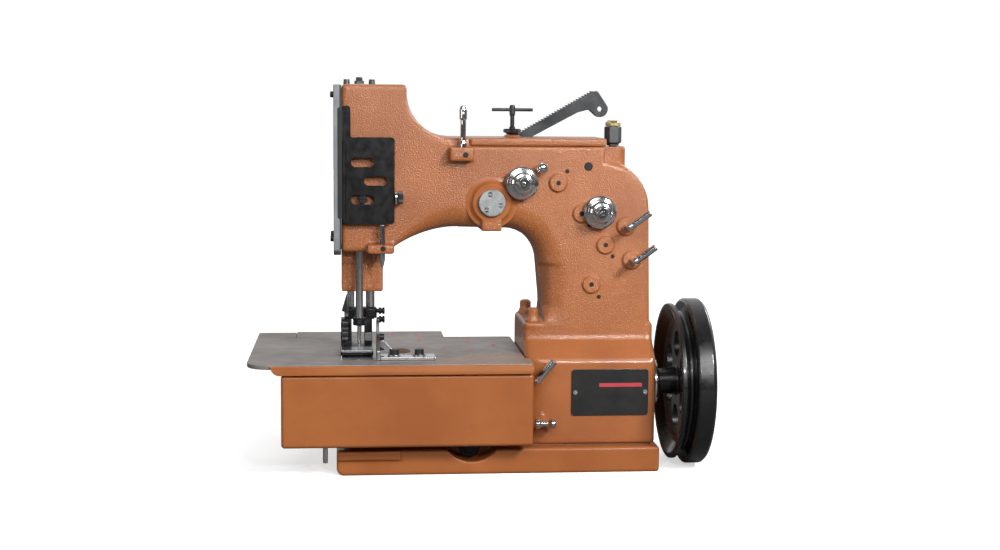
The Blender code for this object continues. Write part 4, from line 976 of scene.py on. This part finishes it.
def makeNeedle():
    look = needleLook
    bar = middle("needle_clamp")
    low, high = corners("needle_bar")
    stem = lathe([(0, low.z), (look["bar"], low.z, 0.4), (look["bar"], high.z, 0.8), (0, high.z)],
                 (bar.x, bar.y, 0), up, 48)
    link = corners("needle_link")[0]
    pin = link.z + 7.5
    carrier = block((bar.x - 5.5, bar.y - 4.5, pin - 4), (bar.x + 5.5, link.y - 0.5, pin + 6))
    stud = rod(3, 7, (bar.x, link.y - 2.5, pin), (0, 1, 0), 32)
    done(asPiece("needleBar", stem, rounder(carrier, 0.8), stud), "needle_bar", "chrome", "needle_bar")
    low, high = corners("needle_clamp")
    wide = look["clamp"]
    nut = lathe([(3.9, low.z), (wide, low.z, 0.8), (wide, low.z + 3, 0.3),
                 (look["clampGroove"], low.z + 3.6, 0.3), (wide, low.z + 4.2, 0.3), (wide, high.z, 0.8),
                 (3.9, high.z), (3.9, low.z)], (bar.x, bar.y, 0), up, 56)
    done(asPiece("needleClamp", nut), "needle_bar", "oxide", "needle_clamp")
    screwed("clampScrew", "needle_bar", "oxide", [(bar.x, bar.y - 5.6, low.z + 4)], front, 2.0, 0.85, 0.6)
    low, high = corners("needle")
    line = [(0, low.z), (look["tip"], low.z + 6, 2), (look["blade"], low.z + 21, 0.8),
            (look["shank"], low.z + 24, 0.8), (look["shank"], high.z, 0.2), (0, high.z)]
    needle = lathe(line, (bar.x, bar.y, 0), up, 28)
    done(asPiece("sewingNeedle", needle), "needle_bar", "chrome", "needle")


def makePresser():
    rodPiece("presserBar", "presser_bar", "chrome", "presser")
    rodPiece("presserGuideRod", "presser_guide_rod", "chrome", "presser")
    for node, name, width, body, finish in (
            ("presser_clamp", "presserClamp", 0.5, "presser", "oxide"),
            ("presser_foot", "presserFoot", 0.45, "presser", "oxide"),
            ("presser_spring", "presserSpring", 0.3, "presser_spring", "steel")):
        done(soften(merged(node, name), width), body, finish, node)
    makePresserTrim()


trimLook = {"stop": ((-152.0, -145.2), (10.0, 26.5)), "knob": 4.6, "knobs": (24.5, 14.5), "knurls": 30,
            "sideScrew": 3.4, "sideScrews": (7.2, -1.4)}


def makePresserTrim():
    # lift stop, knurled screws beside the shanks and the polished sole plate
    look = trimLook
    low, high = corners("presser_clamp")
    foot, footTop = corners("presser_foot")
    bottom = low.z
    (start, end), (tail, tip) = look["stop"]
    wedge = [(start, bottom + tail, 0.8), (end, bottom + tail - 2, 0.8), (end, bottom + tip, 0.8),
             (end - 2, bottom + tip, 0.8)]
    plate = rounder(prism(wedge, -18, -14.6), 0.4, 2)
    arm = block((end - 3.5, -16, bottom + 4.5), (end - 0.2, low.y + 1, bottom + 12))
    done(asPiece("liftStop", plate, arm), "presser", "worn")
    knob = look["knob"]
    line = [(0, 0), (knob - 0.9, 0, 0.5), (knob - 0.4, 1, 0.3), (knob - 0.4, 7.6, 0.3),
            (knob - 0.9, 8.8, 0.5), (0, 8.8)]
    for index, height in enumerate(look["knobs"]):
        x, y, z = foot.x + 0.2, -6.5, foot.z + height
        done(asPiece(f"footKnob{index}", lathe(line, (x, y, z), right, 36)), "presser", "oxide")
        knurled(f"footKnurl{index}", "presser", "oxide", knob - 0.3, 6.4, look["knurls"],
                (x + 4.3, y, z), right)
    wide = look["sideScrew"]
    line = [(0, 0), (2.2, 0), (2.2, 2.2), (wide, 2.4, 0.4), (wide, 4.4, 0.4), (wide - 1, 4.9),
            (wide - 1, 5.6), (wide, 6.0, 0.4), (wide, 8.0, 0.6), (0, 8.2)]
    stems = [lathe(line, (high.x - 0.2, low.y + 2, bottom + height), right, 40)
             for height in look["sideScrews"]]
    done(asPiece("clampSideScrews", *stems), "presser", "oxide")
    bar, under = middle("presser_bar").x, corners("presser_bar")[0].z - 1
    lugs = [rounder(block((x - 4.2, low.y - 3.2, bottom - 0.5), (x + 4.2, low.y + 2, under)), 0.9, 3)
            for x in (middle("presser_guide_rod").x, bar)]
    done(asPiece("clampLugs", *lugs), "presser", "oxide")
    screwed("clampScrews", "presser", "oxide", [(bar, low.y - 3.4, bottom + 5)], front, 2.6, 1.6, 0.8)
    sole = block((foot.x + 0.4, foot.y - 0.2, foot.z + 3.6), (footTop.x - 0.4, foot.y + 22, foot.z + 5.8))
    done(asPiece("solePlate", rounder(sole, 0.5, 2)), "presser", "steel")
    shank = block((-129.2, -3.4, foot.z + 9), (-122.4, -1, foot.z + 17))
    done(asPiece("shankBlock", rounder(shank, 0.4, 2)), "presser", "steel")


makeNeedle()
makePresser()
print("needle and presser ready")


# Top of the arm: pressure screw, lock nut, lifter, oil cup

topLook = {"screw": 3, "waist": 2.1, "head": 2.9, "handle": 1.6, "nut": 8.5, "nutFoot": 6, "knurls": 44,
           "cup": 8.6, "cap": 7.6}


def makeTop():
    look = topLook
    low, high = corners("pressure_screw")
    spot = middle("lock_nut")
    screw, waist, head = look["screw"], look["waist"], look["head"]
    turn = [(0, low.z), (screw, low.z, 0.3), (screw, high.z - 22, 0.4), (waist, high.z - 21, 0.4),
            (waist, high.z - 11, 0.4), (head, high.z - 9, 0.5), (head, high.z - 2, 0.6), (2.2, high.z, 0.6),
            (0, high.z)]
    turn = lathe(turn, (spot.x, spot.y, 0), up, 40)
    long = high.x - low.x
    bar = lathe([(0, 0), (look["handle"], 0, 0.5), (look["handle"], long, 0.5), (0, long)],
                (low.x, spot.y, high.z - 4.7), right, 24)
    done(asPiece("pressureScrew", turn, bar), "pressure_screw", "worn", "pressure_screw")
    low, high = corners("lock_nut")
    wide, foot = look["nut"], look["nutFoot"]
    line = [(3.4, high.z), (3.4, low.z), (foot, low.z, 0.4), (foot, high.z - 4.2, 0.4),
            (wide - 1.1, high.z - 3.8, 0.4), (wide, high.z - 3.2, 0.3), (wide, high.z - 0.7, 0.3),
            (wide - 0.5, high.z, 0.4), (3.4, high.z)]
    nut = lathe(line, (spot.x, spot.y, 0), up, 64)
    done(asPiece("lockNut", nut), "lock_nut", "oxide", "lock_nut")
    knurled("lockNutKnurl", "lock_nut", "oxide", wide - 0.3, 2.6, look["knurls"],
            (spot.x, spot.y, high.z - 2.0), up)
    makeLifter()
    low, high = corners("oil_cup")
    spot = middle("oil_cup")
    wide = look["cup"]
    line = [(0, low.z), (4, low.z), (4, low.z + 14), (6, low.z + 14.2, 0.4), (6, low.z + 16, 0.6),
            (wide, low.z + 17.4, 0.5), (wide, high.z - 0.6, 0.5), (7.4, high.z), (0, high.z)]
    cup = lathe(line, (spot.x, spot.y, 0), up, 6)
    done(asPiece("oilCup", cup), "frame", "worn", "oil_cup", angle=25)
    low, high = corners("oil_cup_cap")
    wide = look["cap"]
    line = [(0, low.z), (wide - 0.4, low.z), (wide, low.z + 0.6), (wide, high.z - 2.4),
            (5.8, high.z - 0.5, 0.8), (4.6, high.z, 0.5), (0, high.z)]
    cap = lathe(line, (spot.x, spot.y, 0), up, 6)
    done(asPiece("oilCupCap", cap), "oil_cup_cap", "brass", "oil_cup_cap", angle=25)


lifterLook = {"teeth": 29, "tooth": 1.9, "eye": (106.4, 351.6), "eyeRadius": 8.2, "eyeHole": 2.6,
              "pivotHole": 4.4, "edge": ((21.6, 324.4), (97.6, 368.3))}


def makeLifter():
    look = lifterLook
    low, high = corners("lifter_lever")
    y = (low.y + high.y) / 2
    pivot = middle("lifter_shaft")
    eyeX, eyeZ = look["eye"]
    side = [(low.x, 303, 2), (low.x, 297, 2), (pivot.x + 6, 292, 3), (28, 318, 4), (84, 348, 8), (95, 351, 4)]
    side += arc(eyeX, eyeZ, look["eyeRadius"], np.radians(np.arange(215, 386, 15)))
    side += [(103.9, 369.6, 2), (99, 368.8, 1.5), (22, 324, 2), (pivot.x - 2, 308, 3)]
    lever = asPiece("lifterLever", rounder(prism(side, low.y, high.y), 0.7, 2, 50))
    carved(lever, rod(look["eyeHole"], 18, (eyeX, y, eyeZ), front, 28, -9),
           rod(look["pivotHole"], 18, (pivot.x, y, pivot.z), front, 28, -9))
    done(lever, "lifter", "worn", "lifter_lever", angle=40)
    sizes = {"Teeth": look["teeth"], "Tooth": look["tooth"] * mm, "Width": (high.y - low.y - 1) * mm}
    line = [(x, y, z) for x, z in look["edge"]]
    grown("lifterTeeth", "teeth", "lifter", "oxide", line, path=True, settings=sizes)


makeTop()
print("top of the arm ready")


# Thread path: tensions, pins and eyelet, and the pivot cap beside them

tensionLook = {"ridges": 40, "ridgeRadius": 6.3, "nut": 11}


def makeTensions():
    for side in ("left", "right"):
        node = "tension_discs_" + side
        low, high = corners(node)
        nut = middle("tension_nut_" + side)
        disc = (high.z - low.z) / 2
        face = corners("top_cover")[0].y
        line = [(0, -5), (3, -5), (3, 0.3), (6.5, 0.3, 0.5), (6.5, 5.6, 0.6), (disc - 5, 7.0, 1.2),
                (disc - 0.6, 8.4, 0.6), (disc, 9.4, 0.5), (disc, 10.2, 0.5), (disc - 1.4, 11.4, 0.6),
                (disc - 3.6, 12.0, 0.5), (disc - 4.2, 12.9, 0.4), (disc - 6.2, 13.5, 0.5),
                (disc - 6.6, 14.4, 0.3), (9, 14.8, 0.4), (9, 16, 0.4), (2.6, 16), (2.6, 27, 0.7), (0, 27)]
        post = lathe(line, (nut.x, face, nut.z), front, 96)
        done(asPiece("tensionDiscs" + side.title(), post), "frame", "chrome", node)
        wide = tensionLook["nut"]
        line = [(3.1, 16.4), (wide, 16.4, 0.4), (wide, 18.3, 0.6), (9.6, 19.2, 0.6), (9.2, 20.6, 0.4),
                (7, 21.3, 0.5), (6.5, 22.5, 0.4), (6.5, 25, 0.8), (5.4, 26, 0.4), (3.1, 26), (3.1, 16.4)]
        cap = lathe(line, (nut.x, face, nut.z), front, 80)
        body = "tension_nut_" + side
        done(asPiece("tensionNut" + side.title(), cap), body, "chrome", body)
        knurled("tensionKnurl" + side.title(), body, "chrome", tensionLook["ridgeRadius"], 2.6,
                tensionLook["ridges"], (nut.x, face - 23.7, nut.z), front)


pinLook = {"stem": 2.5, "guide": 3.3, "guideTip": (19.5, 14.5), "cover": 3.5, "coverTip": (16, 20),
           "ball": 6, "ballHole": 1.7}


def pinShapes(foot, bend, tip, radius):
    # a stem, a ball and the bar bent away from it
    foot, bend, tip = Vector(foot), Vector(bend), Vector(tip)
    stem = rod(pinLook["stem"], (bend - foot).length, foot, bend - foot, 32)
    long = (tip - bend).length
    line = [(0, -radius - 0.2), (radius * 0.75, -radius * 0.8, 1.2), (radius + 0.4, 0, 1.4),
            (radius, radius, 0.6), (radius, long, 1.1), (0, long)]
    return stem, lathe(line, bend, tip - bend, 48)


def makePins():
    look = pinLook
    face = corners("top_cover")[0].y
    for side in ("upper", "lower"):
        low, high = corners("guide_pin_" + side)
        foot = (low.x + 3.7, face + 4, low.z + 3.7)
        bend = (foot[0], face - 22, foot[2])
        out, lift = look["guideTip"]
        shapes = pinShapes(foot, bend, (foot[0] + out, face - 25, foot[2] + lift), look["guide"])
        done(asPiece("guidePin" + side.title(), *shapes), "frame", "chrome", "guide_pin_" + side)
    low, high = corners("cover_guide_pin")
    foot = (low.x + 3.9, high.y + 9, low.z + 3.9)
    bend = (foot[0], high.y - 13.7, foot[2])
    out, lift = look["coverTip"]
    shapes = pinShapes(foot, bend, (foot[0] + out, bend[1] - 2, foot[2] + lift), look["cover"])
    done(asPiece("coverGuidePin", *shapes), "frame", "chrome", "cover_guide_pin")
    low, high = corners("spool_pin")
    spot = middle("spool_pin")
    line = [(0, 0), (4, 0, 0.6), (5, 1, 0.4), (5, 4, 0.8), (2.6, 7, 1.5), (2.6, 13, 1.5), (5, 16, 0.8),
            (5, 19, 0.6), (4, 20, 0.4), (0, 20)]
    spool = lathe(line, (low.x, low.y + 5, spot.z), right, 48)
    stem = rod(2.2, 20, (spot.x, high.y + 8, spot.z), front, 28)
    done(asPiece("spoolPin", spool, stem), "frame", "chrome", "spool_pin")
    low, high = corners("ball_eyelet")
    spot = middle("ball_eyelet")
    ball = look["ball"]
    line = [(0, -ball)] + arc(0, 0, ball, np.radians(np.arange(-80, 81, 10))) + [(0, ball)]
    knob = lathe(line, (spot.x, low.y + ball, spot.z), up, 40)
    eyelet = asPiece("ballEyelet", knob, rod(look["stem"], 9, (spot.x, high.y, spot.z), front, 28))
    carved(eyelet, rod(look["ballHole"], 18, (spot.x, low.y + 5, spot.z), (0.7, 0, 0.7), 24, -9))
    done(eyelet, "frame", "chrome", "ball_eyelet", angle=40)


capLook = {"radius": 13.2, "screwPlace": 8.6, "screws": (104, 230, 345)}


def makePivotCap():
    look = capLook
    face = corners("top_cover")[0].y
    cap = middle("pivot_cap")
    low, high = corners("pivot_cap")
    boss = [(13.5, 0), (13.5, 5.1), (17.9, 5.1, 0.7), (19.0, 4.2, 0.8), (19.6, 2.6, 1.2), (22.0, 0.9, 2.0),
            (25.0, 0.25), (25.0, -0.6), (13.5, -0.6), (13.5, 0)]
    done(asPiece("pivotBoss", lathe(boss, (cap.x, face, cap.z), front, 96)), "frame", "satin")
    wide = look["radius"]
    disc = lathe([(0, 0), (wide, 0), (wide, 3.0, 0.7), (wide - 0.6, 3.7, 0.5), (0, 3.7)],
                 (cap.x, high.y, cap.z), front, 72)
    done(asPiece("pivotCap", disc), "frame", "cast", "pivot_cap")
    places = arc(cap.x, cap.z, look["screwPlace"], np.radians(look["screws"]))
    heads = [(x, low.y + 0.4, z) for x, z in places]
    screwed("pivotCapScrews", "frame", "oxide", heads, front, 2.9, 0.4, 1.2)


makeTensions()
makePins()
makePivotCap()
print("thread path ready")


# Name plate, plugs, guide and the joint of body and base

plateLook = {"bar": (97.9, 82.7, 140.2, 86.4), "screws": ((74.4, 77.6), (143.4, 77.6)), "corner": 3}


def makeBodyPieces():
    for name in ("block_bolt_front", "block_bolt_rear"):
        low, high = corners(name)
        spot = middle(name)
        line = [(0, 0.3), (7.6, 0.3), (7.4, 1.4, 0.8), (6.0, 4.4, 1.2), (5.6, 7, 0.6), (5.6, 11.6, 0.5),
                (4.9, 12.6, 0.5), (3.2, 13.5, 0.6), (0, 13.5)]
        bolt = lathe(line, (spot.x, spot.y, low.z - 0.3), up, 48)
        done(asPiece("blockBolt" + name[12:].title(), bolt), "frame", "wrinkle", name)
    low, high = corners("name_plate")
    turn = plateLook["corner"]
    line = [(low.x, low.z, turn), (high.x, low.z, turn), (high.x, high.z, turn), (low.x, high.z, turn)]
    plate = rounder(prism(line, low.y, high.y), 0.3, 2)
    done(asPiece("namePlate", plate), "frame", "gloss", "name_plate")
    startX, startZ, endX, endZ = plateLook["bar"]
    bar = block((startX, low.y - 0.12, startZ), (endX, low.y + 0.3, endZ))
    done(asPiece("plateBar", rounder(bar, 0.05, 1)), "frame", "red")
    heads = [(x, low.y - 0.1, z) for x, z in plateLook["screws"]]
    screwed("plateScrews", "frame", "chrome", heads, front, 2.4, 1.1, 0.7)
    plug = middle("drain_plug")
    high = corners("drain_plug")[1]
    foot = (plug.x, high.y, plug.z)
    head = lathe([(0, 0), (10.4, 0), (10.4, 7.4, 0.7), (7.5, 8, 0.5), (6.6, 8.1), (0, 8.1)], foot, front, 56)
    hexagon = lathe([(0, 7), (6.2, 7), (6.2, 11, 0.4), (5.2, 11.7), (0, 11.7)], foot, front, 6)
    done(asPiece("drainPlug", head, hexagon), "frame", "oxide", "drain_plug", angle=28)
    rodPiece("coverHingePin", "cover_hinge_pin", "chrome", "frame")
    rodPiece("lifterShaft", "lifter_shaft", "steel", "frame", axis=1)
    rodPiece("leverShaft", "lever_shaft", "steel", "frame", axis=1)


guideLook = {"bar": 3, "screws": (-101.5, -77.6), "screwLine": -55.4, "fingerScrews": (19, 9)}


def makeEdgeGuide():
    look = guideLook
    low, high = corners("edge_guide")
    top = low.z + look["bar"]
    bar = asPiece("edgeGuide", rounder(block((low.x, low.y, low.z), (high.x, high.y, top)), 0.6, 3))
    slot = slotOutline((low.x + high.x) / 2 + 1, high.y - 4.2, 7, 1.6)
    carved(bar, prism(slot, top - 1.2, top + 2, "xy"))
    done(bar, "frame", "chrome", "edge_guide")
    y = look["screwLine"]
    line = [(0, 0), (6.4, 0, 0.2), (6.4, 1.1, 0.4), (4, 1.1), (4, 1.3), (0, 1.3)]
    for index, x in enumerate(look["screws"]):
        done(asPiece(f"guideWasher{index}", lathe(line, (x, y, top), up, 48)), "frame", "steel")
    heads = [(x, y, top + 1.0) for x in look["screws"]]
    screwed("guideScrews", "frame", "oxide", heads, up, 4.7, 5.2, 1.3)
    low, high = corners("finger_plate")
    line = [(low.y, low.z), (low.y, low.z + 9, 3), (-46, low.z + 22, 8), (-38, high.z, 5),
            (high.y, high.z, 3), (high.y, low.z)]
    finger = prism(line[::-1], low.x, high.x, "yz")
    done(asPiece("fingerPlate", rounder(finger, 0.4, 2)), "frame", "steel", "finger_plate")
    line = [(high.x, top + 14, 1.5), (high.x + 4, top + 14.5, 4), (-104, top + 6, 5), (-97, top + 3.4, 1),
            (-97, top + 1.2, 0.5), (-106, top + 1.2, 2), (high.x + 2.4, top + 7.4, 3), (high.x, top + 8, 0.5)]
    link = rounder(prism(line[::-1], -54, -47), 0.6, 3)
    done(asPiece("guideLink", link), "frame", "steel")
    heads = [(high.x, -41, low.z + height) for height in look["fingerScrews"]]
    screwed("fingerScrews", "frame", "oxide", heads, right, 3.3, 4.6, 1.0)


jointLook = {"span": (66, 148), "height": 0.8}


def makeJointLine():
    # hardened compound squeezed out between body and base
    face = corners("name_plate")[1].y + 0.3
    level = corners("base")[1].z
    start, end = jointLook["span"]
    bead = block((start, face - 0.5, level - 0.5), (end, face + 1, level + jointLook["height"]))
    done(asPiece("jointLine", rounder(bead, 0.3, 2)), "frame", "joint")


makeBodyPieces()
makeEdgeGuide()
makeJointLine()
print("small pieces ready")


# Frame parts whose shape is already right get a finish only

kept = {"throat_plate": "steel", "bed_shaft": "steel", "left_bearing": "brass", "needle_lever": "steel",
        "needle_link": "steel", "connecting_rod": "steel", "looper_shaft": "steel", "looper": "steel",
        "feed_bar": "steel"}
for node, finish in kept.items():
    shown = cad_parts[node]
    shown.data.materials.clear()
    shown.data.materials.append(finishes[finish].material)


# Floor, light and camera

studio = {"floor": (0.93, 0.93, 0.93), "floorBounce": (0.1, 0.1, 0.1), "floorGlow": 0.55, "lens": 58.39,
          "glowStart": 0.5, "glowEnd": 1.8, "skyFrom": -0.3, "skyTo": 0.6, "aim": (0, 0, 0.2),
          "camera": (-0.1532, -1.6, 0.3692), "yaw": -0.0988, "pitch": 0.1133, "roll": 0.009,
          "worldFront": 0.07, "worldBack": 0.6,
          "lights": {"key": ((0.85, -1.25, 1.05), 0.34, 23), "fill": ((-0.3, -1.9, 1.3), 0.8, 12),
                     "sparkle": ((0.42, -1.6, 0.74), 0.09, 8), "side": ((-1.3, -0.9, 0.45), 0.5, 3),
                     "top": ((-0.1, 0.2, 1.6), 0.6, 1.2), "rim": ((1.2, 0.9, 0.9), 0.5, 5)}}


def makeStudio():
    floor = bmesh.new()
    bmesh.ops.create_grid(floor, x_segments=1, y_segments=1, size=6000)
    floorPiece = asPiece("floor", floor)
    paper = Finish("paper", "orange_paint", studio["floor"], 0.8)
    # pale to the eye, but dim in reflections, as a table under studio lamps is
    seen = paper.add("ShaderNodeLightPath").outputs["Is Camera Ray"]
    paper.link(paper.mixed(seen, studio["floorBounce"], studio["floor"]), "Base Color")
    paper.shader.inputs["Emission Color"].default_value = (1, 1, 1, 1)
    far = paper.add("ShaderNodeVectorMath", Vector=paper.coords)
    far.operation = "LENGTH"
    glow = paper.spread(far.outputs["Value"], studio["glowStart"], studio["glowEnd"], studio["floorGlow"])
    paper.link(paper.multiplied(seen, glow), "Emission Strength")
    floorPiece.data.materials.append(paper.material)
    sky = bpy.data.worlds.new("studio")
    sky.use_nodes = True
    tree = sky.node_tree
    background = tree.nodes["Background"]
    split = tree.nodes.new("ShaderNodeSeparateXYZ")
    shade = tree.nodes.new("ShaderNodeMapRange")
    tree.links.new(tree.nodes.new("ShaderNodeTexCoord").outputs["Generated"], split.inputs["Vector"])
    tree.links.new(split.outputs["Y"], shade.inputs["Value"])
    for label, value in (("From Min", studio["skyFrom"]), ("From Max", studio["skyTo"]),
                         ("To Min", studio["worldFront"]), ("To Max", studio["worldBack"])):
        shade.inputs[label].default_value = value
    seen = tree.nodes.new("ShaderNodeLightPath").outputs["Is Camera Ray"]
    backdrop = tree.nodes.new("ShaderNodeMath")
    backdrop.operation = "MAXIMUM"
    tree.links.new(shade.outputs["Result"], backdrop.inputs[0])
    tree.links.new(seen, backdrop.inputs[1])
    tree.links.new(backdrop.outputs[0], background.inputs["Strength"])
    background.inputs["Color"].default_value = (1, 1, 1, 1)
    world.world = sky
    for name, (place, size, power) in studio["lights"].items():
        lamp = bpy.data.lights.new(name, "AREA")
        lamp.size = size
        lamp.energy = power
        holder = bpy.data.objects.new(name, lamp)
        holder.location = place
        holder.rotation_euler = (Vector(place) - Vector(studio["aim"])).to_track_quat("Z", "Y").to_euler()
        world.collection.objects.link(holder)
    world.view_settings.view_transform = "Standard"


def makeCamera():
    yaw, pitch, roll = studio["yaw"], studio["pitch"], studio["roll"]
    facing = Matrix.Rotation(yaw, 3, "Z")
    side, ahead = facing @ Vector((1, 0, 0)), facing @ Vector((0, 1, 0))
    look = ahead * math.cos(pitch) - Vector(up) * math.sin(pitch)
    head = Vector(up) * math.cos(pitch) + ahead * math.sin(pitch)
    tilted = side * math.cos(roll) + head * math.sin(roll)
    head = head * math.cos(roll) - side * math.sin(roll)
    camera = bpy.data.objects.new("camera", bpy.data.cameras.new("camera"))
    camera.data.lens = studio["lens"]
    camera.data.sensor_width = 36
    turn = Matrix((tilted, head, -look)).transposed().to_4x4()
    camera.matrix_world = Matrix.Translation(studio["camera"]) @ turn
    world.collection.objects.link(camera)
    world.camera = camera


makeStudio()
makeCamera()
print("studio ready")
